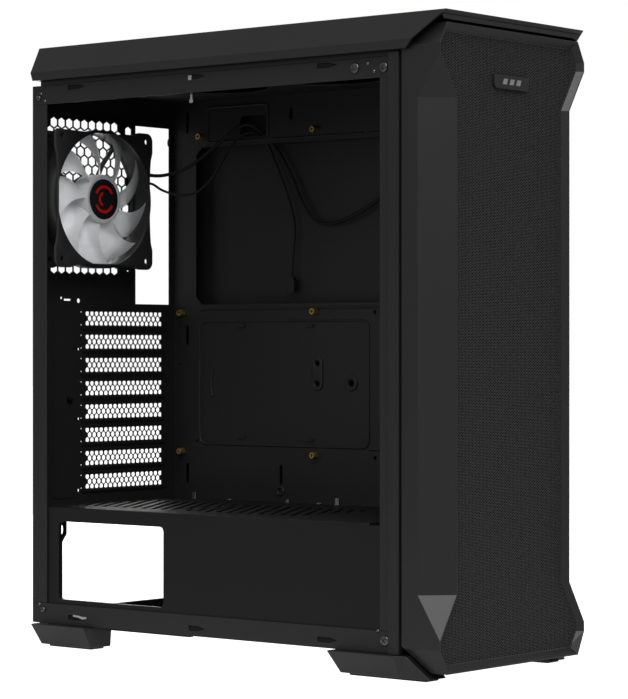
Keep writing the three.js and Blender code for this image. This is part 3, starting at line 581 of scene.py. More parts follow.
class Drawing:
    """Closed shapes in millimetres that become one mesh in metres. It may start from a finished mesh."""

    def __init__(self, start=None):
        self.bm = bmesh.new()
        if start:
            self.bm.from_mesh(start)
            bmesh.ops.scale(self.bm, vec=(1 / MM,) * 3, verts=self.bm.verts)

    def block(self, x0, x1, y0, y1, z0, z1):
        size = (abs(x1 - x0), abs(y1 - y0), abs(z1 - z0))
        middle = ((x0 + x1) / 2, (y0 + y1) / 2, (z0 + z1) / 2)
        bmesh.ops.create_cube(self.bm, size=1, matrix=Matrix.Translation(middle) @ Matrix.Diagonal((*size, 1)))
        return self

    def plate(self, axis, outline, low, high, holes=()):
        """A plate with holes: its face lies across the axis, from low to high."""
        bm = self.bm
        edges = []
        for loop in [outline, *holes]:
            verts = [bm.verts.new(in_plane(axis, a, b, low)) for a, b in loop]
            edges += [bm.edges.new((verts[i - 1], verts[i])) for i in range(len(verts))]
        faces = bmesh.ops.triangle_fill(bm, edges=edges, use_beauty=True)["geom"]
        faces = [part for part in faces if isinstance(part, bmesh.types.BMFace)]
        grown = bmesh.ops.extrude_face_region(bm, geom=faces, use_keep_orig=True)["geom"]
        moved = [part for part in grown if isinstance(part, bmesh.types.BMVert)]
        bmesh.ops.translate(bm, verts=moved, vec=Vector(in_plane(axis, 0, 0, high - low)))
        solid = faces + [part for part in grown if isinstance(part, bmesh.types.BMFace)]
        solid += [face for vert in moved for face in vert.link_faces if face not in solid]
        bmesh.ops.recalc_face_normals(bm, faces=list(set(solid)))
        return self

    def lathe(self, axis, centre, profile, sides=32):
        """A turned solid from (radius, height) points along the axis; the ends have radius 0."""
        rows = []
        for radius, height in profile:
            circle = ring(*centre, radius, sides) if radius else [centre]
            rows.append([self.bm.verts.new(in_plane(axis, a, b, height)) for a, b in circle])
        faces = []
        for first, last in zip(rows, rows[1:]):
            for i in range(sides):
                j = (i + 1) % sides
                corners = [first[i % len(first)], first[j % len(first)], last[j % len(last)], last[i % len(last)]]
                faces.append(self.bm.faces.new(list(dict.fromkeys(corners))))
        bmesh.ops.recalc_face_normals(self.bm, faces=faces)
        return self

    def mesh(self, name):
        bmesh.ops.scale(self.bm, vec=(MM,) * 3, verts=self.bm.verts)
        made = bpy.data.meshes.new(name)
        self.bm.to_mesh(made)
        self.bm.free()
        return made

    def piece(self, name, finish_name, body, slot, *nodes, edges=None, crisp=None):
        """edges gives a bevel's width, segments and angle."""
        made = new_piece(name, self.mesh(name), finish_name)
        if edges:
            bevelled(made, *edges)
        return settle(made, body, slot, *nodes, crisp=crisp)


def rounded_copy(name, node, finish_name, body, slot, width=0.4, segments=2, degrees=28):
    """A CAD node's shape with its edges rounded where they bend by more than some degrees."""
    bm = bmesh.new()
    bm.from_mesh(frame["nodes"][node].data)
    bmesh.ops.remove_doubles(bm, verts=bm.verts, dist=1e-6)
    bmesh.ops.dissolve_limit(bm, angle_limit=math.radians(0.4), verts=bm.verts, edges=bm.edges)
    mesh = bpy.data.meshes.new(name)
    bm.to_mesh(mesh)
    bm.free()
    piece = new_piece(name, mesh, finish_name)
    bevelled(piece, width, segments, degrees)
    smooth(piece.data, min(32, degrees))
    for face in piece.data.polygons:
        face.use_smooth = face.area < FLAT_FACE_AREA
    return settle(piece, body, slot, node)


# ---------------------------------------------------------------- geometry trees

SOCKETS = {float: "NodeSocketFloat", int: "NodeSocketInt", tuple: "NodeSocketVector", str: "NodeSocketMaterial"}


def new_tree(name, **defaults):
    """A geometry tree, its graph, and its named inputs as fields. A text default makes a material input."""
    tree = bpy.data.node_groups.new(name, "GeometryNodeTree")
    tree.interface.new_socket("Geometry", in_out="OUTPUT", socket_type="NodeSocketGeometry")
    tree.interface.new_socket("Geometry", in_out="INPUT", socket_type="NodeSocketGeometry")
    for label, default in defaults.items():
        socket = tree.interface.new_socket(title(label), in_out="INPUT", socket_type=SOCKETS[type(default)])
        if not isinstance(default, str):
            socket.default_value = default
    source = tree.nodes.new("NodeGroupInput")
    graph = Graph(tree)
    fields = {label: Field(graph, source.outputs[title(label)]) for label in ["geometry", *defaults]}
    return graph, fields


def title(label):
    return label.replace("_", " ").capitalize()


def close_tree(graph, geometry, finish):
    """Ends a tree in Realize Instances and Set Material."""
    real = graph.node("GeometryNodeRealizeInstances", inputs={0: geometry})
    shown = graph.node("GeometryNodeSetMaterial", inputs={"Geometry": real, "Material": finish})
    sink = graph.tree.nodes.new("NodeGroupOutput")
    graph.feed(sink.inputs[0], shown)
    return graph.tree

def grow(name, finish_name, tree_name, base=None, **values):
    """Runs a geometry tree on a mesh and returns the result as a piece with a plain mesh."""
    tree = bpy.data.node_groups.get(tree_name) or TREES[tree_name]()
    carrier = bpy.data.objects.new(name + "_carrier", base or bpy.data.meshes.new(name + "_base"))
    bpy.context.scene.collection.objects.link(carrier)
    modifier = carrier.modifiers.new("Grow", "NODES")
    modifier.node_group = tree
    values["finish"] = material(finish_name)
    identifiers = {item.name: item.identifier for item in tree.interface.items_tree if item.in_out == "INPUT"}
    for label, value in values.items():
        modifier[identifiers[title(label)]] = value
    mesh = evaluated_mesh(carrier)
    carrier.modifiers.remove(modifier)
    bpy.data.objects.remove(carrier)
    mesh.name = name
    return new_piece(name, mesh, finish_name)


def perforation_tree():
    """Punches a staggered field of holes through a sheet that lies across Y."""
    graph, i = new_tree("perforate", columns=9, rows=3, pitch=0.01, row_pitch=0.01, corner_sum=1.0,
                        half_width=1.0, keep_clear=(9.0, 9.0, 9.0), clear_radius=0.0, centre=(0.0, 0.0, 0.0),
                        hole_radius=0.004, hole_height=1.0, sides=6, turn=0.0, depth=0.01, finish="")
    last_column, last_row = i["columns"] - 1, i["rows"] - 1
    grid = graph.geometry("MeshGrid", size_x=last_column * i["pitch"], size_y=last_row * i["row_pitch"],
                          vertices_x=i["columns"], vertices_y=i["rows"])
    x, y, _ = graph.split(graph.geometry("InputPosition"))
    row = round(y / i["row_pitch"] + last_row * 0.5)
    shifted = x + (row % 2) * i["pitch"] * 0.5
    grid = graph.geometry("SetPosition", grid, position=graph.combine(shifted, 0.0, y))
    u, _, w = graph.split(graph.geometry("InputPosition"))
    away = graph.node("ShaderNodeVectorMath", {"operation": "DISTANCE"}, {
        0: graph.combine(abs(u), 0.0, abs(w)), 1: i["keep_clear"]}, output="Value")
    outside = (abs(u) + abs(w) > i["corner_sum"]) + (abs(u) > i["half_width"]) + (away < i["clear_radius"])
    kept = graph.node("GeometryNodeDeleteGeometry", {"domain": "POINT"}, {0: grid, 1: outside > 0.5})
    hole = graph.cylinder(i["sides"], i["hole_radius"], i["depth"])
    hole = graph.geometry("Transform", hole, rotation=graph.combine(0.0, 0.0, i["turn"]))
    hole = graph.geometry("Transform", hole, rotation=(QUARTER, 0, 0),
                          scale=graph.combine(1.0, i["hole_height"], 1.0))
    holes = graph.geometry("InstanceOnPoints", kept, instance=hole)
    holes = graph.geometry("Transform", holes, translation=i["centre"])
    holes = graph.geometry("RealizeInstances", holes)
    return close_tree(graph, graph.boolean("DIFFERENCE", holes, body=i["geometry"]), i["finish"])


def slot_tree():
    """Punches slanted slots, cut off by a rectangular field, through a sheet that lies across Z."""
    graph, i = new_tree("slant_slots", count=10, pitch=0.01, slot_width=0.005, slope=0.5,
                        field_centre=(0.0, 0.0, 0.0), field_size=(0.1, 0.1, 0.01), finish="")
    line = graph.geometry("MeshLine", count=i["count"], offset=graph.combine(0.0, i["pitch"], 0.0),
                          start_location=graph.combine(0.0, (i["count"] - 1) * i["pitch"] * -0.5, 0.0))
    bars = graph.geometry("InstanceOnPoints", line, instance=graph.cube(0.4, i["slot_width"], 0.03),
                          rotation=graph.combine(0.0, 0.0, i["slope"]))
    bars = graph.geometry("Transform", bars, translation=i["field_centre"])
    bars = graph.geometry("RealizeInstances", bars)
    field = graph.geometry("MeshCube", size=i["field_size"])
    field = graph.geometry("Transform", field, translation=i["field_centre"])
    slots = graph.boolean("INTERSECT", bars, field)
    return close_tree(graph, graph.boolean("DIFFERENCE", slots, body=i["geometry"]), i["finish"])


def sweep_tree():
    """Gives every line of a wire drawing a closed section: bars of a lattice, or ribs on a sheet."""
    graph, i = new_tree("sweep", width=0.001, height=0.001, sides=4, turn=0.0, finish="")
    lines = graph.geometry("MeshToCurve", i["geometry"])
    circle = graph.geometry("CurvePrimitiveCircle", resolution=i["sides"], radius=0.5)
    circle = graph.geometry("Transform", circle, rotation=graph.combine(0.0, 0.0, i["turn"]))
    section = graph.geometry("Transform", circle, scale=graph.combine(i["width"], i["height"], 1.0))
    swept = graph.node("GeometryNodeCurveToMesh", inputs={0: lines, 1: section, "Fill Caps": True})
    return close_tree(graph, swept, i["finish"])


def screw_tree():
    """Pan-head screw with a cross recess, its head towards +Y or turned by Turn about Z."""
    graph, i = new_tree("cross_screw", head_radius=0.004, head_height=0.002, shank_radius=0.0015,
                        shank_length=0.006, place=(0.0, 0.0, 0.0), turn=0.0, roll=0.0, finish="")
    radius, height = i["head_radius"], i["head_height"]
    base = graph.raised(graph.cylinder(28, radius, height * 0.45), height * 0.225)
    dome = graph.geometry("MeshUVSphere", segments=28, rings=14, radius=1.0)
    dome = graph.geometry("Transform", dome, translation=graph.combine(0.0, 0.0, height * 0.42),
                          scale=graph.combine(radius, radius, height * 0.58))
    body = graph.boolean("UNION", base, dome, graph.shank(16, i["shank_radius"], i["shank_length"]))
    recess = graph.boolean("UNION", graph.cube(radius * 1.15, radius * 0.2, height * 1.2),
                           graph.cube(radius * 0.2, radius * 1.15, height * 1.2))
    cut = graph.boolean("DIFFERENCE", graph.raised(recess, height * 1.05), body=body)
    cut = graph.geometry("Transform", cut, rotation=graph.combine(0.0, 0.0, i["roll"]))
    cut = graph.geometry("Transform", cut, rotation=(-QUARTER, 0, 0))
    cut = graph.geometry("Transform", cut, rotation=graph.combine(0.0, 0.0, i["turn"]),
                         translation=i["place"])
    return close_tree(graph, cut, i["finish"])


def knurled_screw_tree():
    """Thumbscrew with a knurled rim, a collar and a slot, its head towards +Y."""
    graph, i = new_tree("thumbscrew", head_radius=0.0055, head_height=0.0074, ridges=28, shank_radius=0.0018,
                        shank_length=0.008, place=(0.0, 0.0, 0.0), finish="")
    radius, height = i["head_radius"], i["head_height"]
    star = graph.geometry("CurveStar", points=i["ridges"], inner_radius=radius * 0.93, outer_radius=radius)
    line = graph.geometry("CurvePrimitiveLine", start=graph.combine(0.0, 0.0, height * 0.3),
                          end=graph.combine(0.0, 0.0, height * 0.94))
    rim = graph.node("GeometryNodeCurveToMesh", inputs={0: line, 1: star, "Fill Caps": True})
    collar = graph.raised(graph.cylinder(32, radius * 0.8, height), height * 0.5)
    body = graph.boolean("UNION", rim, collar, graph.shank(16, i["shank_radius"], i["shank_length"]))
    slot = graph.raised(graph.cube(radius * 1.3, radius * 0.2, height * 0.5), height)
    cut = graph.boolean("DIFFERENCE", slot, body=body)
    cut = graph.geometry("Transform", cut, rotation=(-QUARTER, 0, 0), translation=i["place"])
    return close_tree(graph, cut, i["finish"])


def standoff_tree():
    """Hexagonal post with a chamfered end and a threaded hole, pointing towards -X."""
    graph, i = new_tree("standoff", radius=0.003, length=0.0062, hole=0.0014, stub_length=0.002,
                        place=(0.0, 0.0, 0.0), finish="")
    radius, length = i["radius"], i["length"]
    post = graph.raised(graph.cylinder(6, radius, length), length * 0.5)
    cone = graph.geometry("MeshCone", vertices=32, radius_top=radius * 0.86, radius_bottom=radius * 1.25,
                          depth=length * 1.001)
    post = graph.boolean("INTERSECT", post, cone)
    body = graph.boolean("UNION", post, graph.shank(20, 0.0015, i["stub_length"]))
    bore = graph.raised(graph.cylinder(20, i["hole"], length), length * 0.8)
    cut = graph.boolean("DIFFERENCE", bore, body=body)
    cut = graph.geometry("Transform", cut, rotation=(0, -QUARTER, 0), translation=i["place"])
    return close_tree(graph, cut, i["finish"])


def blade_ring_tree():
    """Repeats one blade around an axis along Y."""
    graph, i = new_tree("blade_ring", blades=9, centre=(0.0, 0.0, 0.0), finish="")
    line = graph.geometry("MeshLine", count=i["blades"], offset=(0, 0, 0))
    turn = graph.combine(0.0, graph.geometry("InputIndex") * FULL_TURN / i["blades"], 0.0)
    blades = graph.geometry("InstanceOnPoints", line, instance=i["geometry"], rotation=turn)
    blades = graph.geometry("Transform", blades, translation=i["centre"])
    return close_tree(graph, blades, i["finish"])


TREES = {
    "perforate": perforation_tree,
    "slant_slots": slot_tree,
    "sweep": sweep_tree,
    "cross_screw": screw_tree,
    "thumbscrew": knurled_screw_tree,
    "standoff": standoff_tree,
    "blade_ring": blade_ring_tree,
}


# ---------------------------------------------------------------- wire drawings

def wires(name, lines, closed=False):
    """A mesh of bare edges in metres, from lists of points in millimetres."""
    mesh = bpy.data.meshes.new(name)
    points = [[c * MM for c in point] for line in lines for point in line]
    edges = []
    start = 0
    for line in lines:
        n = len(line)
        edges += [(start + k, start + k + 1) for k in range(n - 1)]
        if closed:
            edges.append((start + n - 1, start))
        start += n
    mesh.from_pydata(points, edges, [])
    return mesh


def clipped(a, b, outline):
    """The parts of the line from a to b that lie inside an outline, in two dimensions."""
    marks = []
    direction = (b[0] - a[0], b[1] - a[1])
    for k, (x1, z1) in enumerate(outline):
        x0, z0 = outline[k - 1]
        side = (x1 - x0, z1 - z0)
        cross = direction[0] * side[1] - direction[1] * side[0]
        if abs(cross) < 1e-9:
            continue
        t = ((x0 - a[0]) * side[1] - (z0 - a[1]) * side[0]) / cross
        s = ((x0 - a[0]) * direction[1] - (z0 - a[1]) * direction[0]) / cross
        if 0 <= s < 1:
            marks.append(t)
    marks.sort()
    return [[(a[0] + t * direction[0], a[1] + t * direction[1]) for t in pair]
            for pair in zip(marks[::2], marks[1::2]) if pair[1] - pair[0] > 1e-4]


def lattice_lines(outline, width, height):
    """Two crossing families of lines that make diamonds of that size inside an outline."""
    slope = height / width
    xs = [p[0] for p in outline]
    zs = [p[1] for p in outline]
    middle = ((min(xs) + max(xs)) / 2, (min(zs) + max(zs)) / 2)
    half = (max(xs) - min(xs)) / 2 + 1
    reach = (max(zs) - min(zs)) / 2 + half * slope
    count = math.ceil(reach / height)
    for lean in (-1, 1):
        for k in range(-count, count + 1):
            z = middle[1] + k * height
            start = (middle[0] - half, z - lean * slope * half)
            end = (middle[0] + half, z + lean * slope * half)
            yield from clipped(start, end, outline)


def square_lines(outline, pitch):
    """Two square families of lines inside an outline."""
    xs = [p[0] for p in outline]
    zs = [p[1] for p in outline]
    for low, high, upright in ((min(xs), max(xs), True), (min(zs), max(zs), False)):
        count = int((high - low) / pitch)
        for k in range(1, count):
            at = low + (high - low) * k / count
            if upright:
                yield from clipped((at, min(zs) - 1), (at, max(zs) + 1), outline)
            else:
                yield from clipped((min(xs) - 1, at), (max(xs) + 1, at), outline)


# ---------------------------------------------------------------- stage and leads

class TOWER_OT_stage(bpy.types.Operator):
    """Makes the camera, the pale floor, the surroundings and the soft lights"""
    bl_idname = "tower.stage"
    bl_label = "Stage"

    def execute(self, context):
        scene = context.scene
        settings = scene.tower_stage
        data = bpy.data.cameras.new("camera")
        data.lens = settings.lens
        data.sensor_width = 36
        data.sensor_fit = "AUTO"
        data.clip_end = 50
        camera = bpy.data.objects.new("camera", data)
        camera.location = (-1.73724, -1.44483, 0.25256)
        camera.rotation_euler = Vector((0.7729, 0.6345, 0)).to_track_quat("-Z", "Y").to_euler()
        scene.collection.objects.link(camera)
        scene.camera = camera

        world = bpy.data.worlds.new("surroundings")
        world.use_nodes = True
        graph = Graph(world.node_tree)
        seen = graph.node("ShaderNodeLightPath", output="Is Camera Ray")
        back = world.node_tree.nodes["Background"]
        graph.feed(back.inputs["Color"], (1, 1, 1, 1))
        graph.feed(back.inputs["Strength"],
                   settings.room_light + seen * (settings.background - settings.room_light))
        scene.world = world
        scene.view_settings.view_transform = "Standard"

        bm = bmesh.new()
        bmesh.ops.create_grid(bm, x_segments=2, y_segments=2, size=12)
        mesh = bpy.data.meshes.new("floor")
        bm.to_mesh(mesh)
        bm.free()
        floor = bpy.data.objects.new("floor", mesh)
        scene.collection.objects.link(floor)
        paper = Finish("floor_paper")
        tone = paper.noise(3, 2)
        x, y, _ = paper.split(paper.place)
        fading = settings.floor_glow / (1 + (x * x + y * y) * 20)
        shown = paper.node("ShaderNodeLightPath", output="Is Camera Ray")
        paper.set(base_color=paper.blend(tone, (0.40, 0.40, 0.40, 1), (0.44, 0.44, 0.44, 1)), roughness=0.9,
                  specular_ior_level=0.1, emission_color=(1, 1, 1, 1),
                  emission_strength=fading + shown * settings.background)
        floor.data.materials.append(paper.material)
        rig.stage(floor)

        self.soft_light(context, "key_light", (-1.15, -1.15, 2.0), 2.0, settings.key_power)
        self.soft_light(context, "back_light", (0.9, 1.6, 0.5), 1.6, settings.back_power)
        return {"FINISHED"}

    def soft_light(self, context, name, place, size, power):
        data = bpy.data.lights.new(name, "AREA")
        data.shape = "SQUARE"
        data.size = size
        data.energy = power
        light = bpy.data.objects.new(name, data)
        light.location = place
        light.rotation_euler = (Vector((0, 0, 0.25)) - Vector(place)).to_track_quat("-Z", "Y").to_euler()
        light.visible_camera = False
        context.scene.collection.objects.link(light)


# Routes of the fan's two leads: out of the fan, through the hole in the tray and down behind it
POWER_LEAD = [
    (28, 192, 406.5), (34, 191.5, 406.3), (41, 188, 406.8), (50, 181, 409.5), (58, 173, 414.5),
    (65, 163, 423), (72, 150, 435), (78, 137, 446), (83.5, 126, 451.5), (87.5, 116, 446.5), (89.5, 104.5, 436.5),
    (90, 94, 424.5), (90, 80, 403), (90, 68, 380), (90, 57, 367), (90, 44, 361.5), (90, 28, 362.5),
    (90, 10, 368), (90, -8, 376), (90, -26, 386.5), (90, -42, 394.5), (90, -54, 396.5), (90, -63, 391),
    (90, -67.5, 380), (90, -69, 366), (90, -69.5, 352),
]
LIGHT_LEAD = [
    (28, 194, 399.5), (34, 193, 398.5), (40, 189, 394), (47, 182, 390.5), (54, 174, 389.5),
    (61, 164.5, 392.5), (67, 156.5, 401), (72, 150, 413), (76, 144.5, 425.5), (80, 137, 437.5),
    (84, 127, 444), (88, 117.5, 442.5),
    (90.5, 108.5, 433.5), (90.5, 100, 418), (90.5, 91, 400), (90.5, 82.5, 380), (90.5, 77.5, 362),
    (90.5, 78, 346), (90.5, 80, 330), (90.5, 80.5, 316),
]


class TOWER_OT_leads(bpy.types.Operator):
    """Makes the fan's two leads with their connectors and the clip that holds one"""
    bl_idname = "tower.leads"
    bl_label = "Fan leads"

    def execute(self, context):
        for name, route, radius, width, height, pins in (
                ("power_lead", POWER_LEAD, 1.6, 11, 15, 3), ("light_lead", LIGHT_LEAD, 1.1, 8.5, 13, 2)):
            plug = self.connector(name, route[-1], width, height, pins)
            cord = self.lead(name, route, radius)
            settle(cord, "chassis", "cable", "fan_" + name)
            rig.cord(cord, exit=[c * MM for c in route[0]], length=curve_length(cord), diameter=2 * radius * MM,
                    far_end="connector", stiffness="limp", lay="hanging", with_pieces=[plug])
        rounded_copy("lead_hook", "lead_clip", "fan_plastic", "chassis", "plastic", 0.35)
        return {"FINISHED"}


    def lead(self, name, route, radius):
        data = bpy.data.curves.new(name, "CURVE")
        data.dimensions = "3D"
        data.bevel_depth = radius * MM
        data.bevel_resolution = 3
        data.use_fill_caps = True
        fine = smooth_route(route, 4)
        spline = data.splines.new("POLY")
        spline.points.add(len(fine) - 1)
        for point, place in zip(spline.points, fine):
            point.co = (*[c * MM for c in place], 1)
        data.materials.append(material("cable_sheath"))
        cord = bpy.data.objects.new(name, data)
        bpy.context.scene.collection.objects.link(cord)
        return cord

    def connector(self, lead, end, width, height, pins):
        """Housing with a socket for each pin, keying ridges and a collar where the lead enters."""
        x, y, z = end
        top = z - GAP
        pitch = (width - 2.4) / pins
        sockets = [box(x, y + (k - pins / 2 + 0.5) * pitch, 1.1, 1.1) for k in range(pins)]
        shell = box(x, y, 3, width / 2, 0.5, 2)
        plug = Drawing().plate("Z", shell, top - height, top - 4, sockets)
        plug.plate("Z", shell, top - 4.05, top - 2.2)
        plug.plate("Z", box(x, y, 2.3, width / 2 - 1.2, 1, 3), top - 2.3, top)
        for side in (-1, 1):
            edge = y + side * (width / 2 - 1.4)
            plug.block(x - 3.35, x - 2.9, edge - 0.5, edge + 0.5, top - height + 1, top - 5)
        return plug.piece(lead.replace("lead", "connector"), "connector_plastic", "chassis", "cable",
                          lead + "_connector", edges=(0.15, 1))


def smooth_route(route, steps):
    """Catmull-Rom points between the points of a route."""
    fine = []
    last = len(route) - 1
    for k in range(last):
        p0, p1, p2, p3 = (Vector(route[min(max(k + d, 0), last)]) for d in (-1, 0, 1, 2))
        for s in range(steps):
            t = s / steps
            fine.append(0.5 * (2 * p1 + (p2 - p0) * t + (2 * p0 - 5 * p1 + 4 * p2 - p3) * t * t
                               + (3 * p1 - p0 - 3 * p2 + p3) * t ** 3))
    fine.append(Vector(route[-1]))
    return fine


def curve_length(cord):
    points = [Vector(p.co[:3]) for p in cord.data.splines[0].points]
    return sum((b - a).length for a, b in zip(points, points[1:]))


# ---------------------------------------------------------------- rear panel and slots

def slot_z(index):
    return TOP_SLOT_Z - SLOT_PITCH * index


class TOWER_OT_rear_panel(bpy.types.Operator):
    """Makes the rear panel with its port opening, honeycomb, slot openings and folds"""
    bl_idname = "tower.rear_panel"
    bl_label = "Rear panel"

    def execute(self, context):
        settings = context.scene.tower_pattern
        supply = [(-55.5, 28.8), (72, 28.8), (76, 32.8), (76, 103), (72, 107), (-54.2, 107), (-54.2, 93),
                  (-59.5, 86.5), (-59.5, 32.8)]
        oval = [(-60.3 + 2.3 * math.cos(a), 97 + 4.2 * math.sin(a)) for a in (FULL_TURN * k / 20 for k in range(20))]
        clamp = (CLAMP_X, slot_z(3.5))
        holes = [rectangle(32.5, 77, 293, 451.5), supply,
                 *[rectangle(-37, 67, slot_z(k) - 6, slot_z(k) + 6) for k in range(SLOT_COUNT)],
                 *[ring(*place, 2.3) for place in FAN_SCREWS],
                 *[ring(RIGHT - 6, z, 2.2) for z in PANEL_SCREWS_Z], ring(*clamp, 2.2),
                 ring(23.3, 445.7, 4.6, 6, math.pi / 6), ring(22.8, 323.1, 1.6, 12),
                 ring(-60.7, 297.1, 1.3, 12), rectangle(-57.7, -49.1, 294.8, 296.4), ring(-39.5, 295, 2.1, 16),
                 ring(-39.8, 130.2, 1.4, 12), *[box(-41.5, z, 3, 0.8) for z in (252.9, 192.4)], oval,
                 *[ring(x, z, 2.2, 16) for x, z in ((-66, 36), (83.5, 99), (83.5, 60))]]
        sheet = Drawing().plate("Y", rectangle(LEFT, RIGHT, FLOOR, ROOF), REAR - SHEET, REAR, holes)
        x, z = FAN_CENTRE
        piece = grow("rear_sheet_panel", "powder_coat", "perforate", sheet.mesh("rear_sheet"), columns=13,
                     rows=17, pitch=settings.honeycomb_pitch, row_pitch=7.856 * MM, corner_sum=101.5 * MM,
                     half_width=52.5 * MM, keep_clear=mm(52.5, 0, 52.5), clear_radius=9.3 * MM,
                     centre=mm(x + 0.35, REAR - 0.5, z + 2.9), hole_radius=settings.honeycomb_hole,
                     hole_height=0.97, sides=6, turn=math.pi / 6, depth=6 * MM)
        panel = Drawing(piece.data)
        inner = REAR - SHEET - 0.02
        for side, edge in ((1, LEFT), (-1, RIGHT)):
            panel.block(edge, edge + side * SHEET, REAR - 17, inner, FLOOR + 17.3, ROOF - 16.3)
        for z in (434.8, 94.2):
            panel.block(LEFT - 0.01, LEFT + 1.2, REAR - 3, inner, z - 4, z + 4)
        panel.plate("Y", rectangle(-71, -45.5, 124, 291, 3), REAR - SHEET - 0.6, REAR - SHEET + 0.1,
                    [ring(*clamp, 3)])
        piece.data = panel.mesh("rear_sheet_panel")
        piece.data.materials.append(material("powder_coat"))
        settle(piece, "chassis", "steel", "rear_panel")
        return {"FINISHED"}


class TOWER_OT_slot_covers(bpy.types.Operator):
    """Makes the perforated slot covers, the clamp outside and its screw"""
    bl_idname = "tower.slot_covers"
    bl_label = "Slot covers"

    def execute(self, context):
        settings = context.scene.tower_pattern
        inside = REAR - SHEET - GAP
        outside = REAR + GAP
        back = inside - COVER_SHEET
        z = slot_z(0)
        base = Drawing().plate("Y", rectangle(-36.6, 71, z - 9.2, z + 9.2, 0.8, 2), back, inside,
                               [ring(68.6, z - 4.2, 1.5, 12), ring(68.6, z + 4.2, 1.5, 12)])
        punched = grow("slot_cover_pattern", "powder_coat", "perforate", base.mesh("cover_base"), columns=17,
                       rows=3, pitch=settings.slot_pitch, row_pitch=4.4 * MM, corner_sum=1.0,
                       half_width=48 * MM, centre=mm(17.0, inside - COVER_SHEET / 2, z),
                       hole_radius=settings.slot_hole, hole_height=1.0, sides=12, turn=math.pi / 12,
                       depth=4 * MM)
        cover = Drawing(punched.data)
        bpy.data.objects.remove(punched)
        cover.block(-36.6, -35.6, inside - 0.02, outside + COVER_SHEET, z - 5.2, z + 5.2)
        cover.block(-48.6, -36.58, outside, outside + COVER_SHEET, z - 5.2, z + 5.2)
        for rib in (z - 5.6 * 1.42, z + 5.6 * 1.42):
            cover.block(-34.5, 69.5, back - 0.5, back + 0.05, rib - 0.35, rib + 0.35)
        pattern = cover.mesh("slot_cover_pattern")
        for k in range(SLOT_COUNT):
            mesh = pattern.copy()
            mesh.transform(Matrix.Translation((0, 0, -SLOT_PITCH * k * MM)))
            piece = new_piece(f"slot_cover_{k + 1}_perforated", mesh, "powder_coat")
            settle(piece, "chassis", "steel", f"slot_cover_{k + 1}")
        rounded_copy("slot_clamp_bar", "slot_clamp", "powder_coat", "chassis", "steel", 0.25)
        seat = outside + COVER_SHEET + GAP + SHEET + GAP
        knob = grow("clamp_thumbscrew", "black_screw", "thumbscrew", head_radius=5 * MM, head_height=5.6 * MM,
                    ridges=26, shank_radius=1.7 * MM, shank_length=8 * MM,
                    place=mm(CLAMP_X, seat, slot_z(3.5)))
        settle(knob, "chassis", "screw", "slot_clamp_screw")
        return {"FINISHED"}


# ---------------------------------------------------------------- tray, shroud and sheets

# Y and Z of the standoffs, from their distances to the board's rear edge
STANDOFFS = [(212 - column, z) for z, columns in (
    (442.98, (33.02, 165.1)), (285.5, (10.16, 165.1)), (161.04, (10.16, 165.1))) for column in columns]


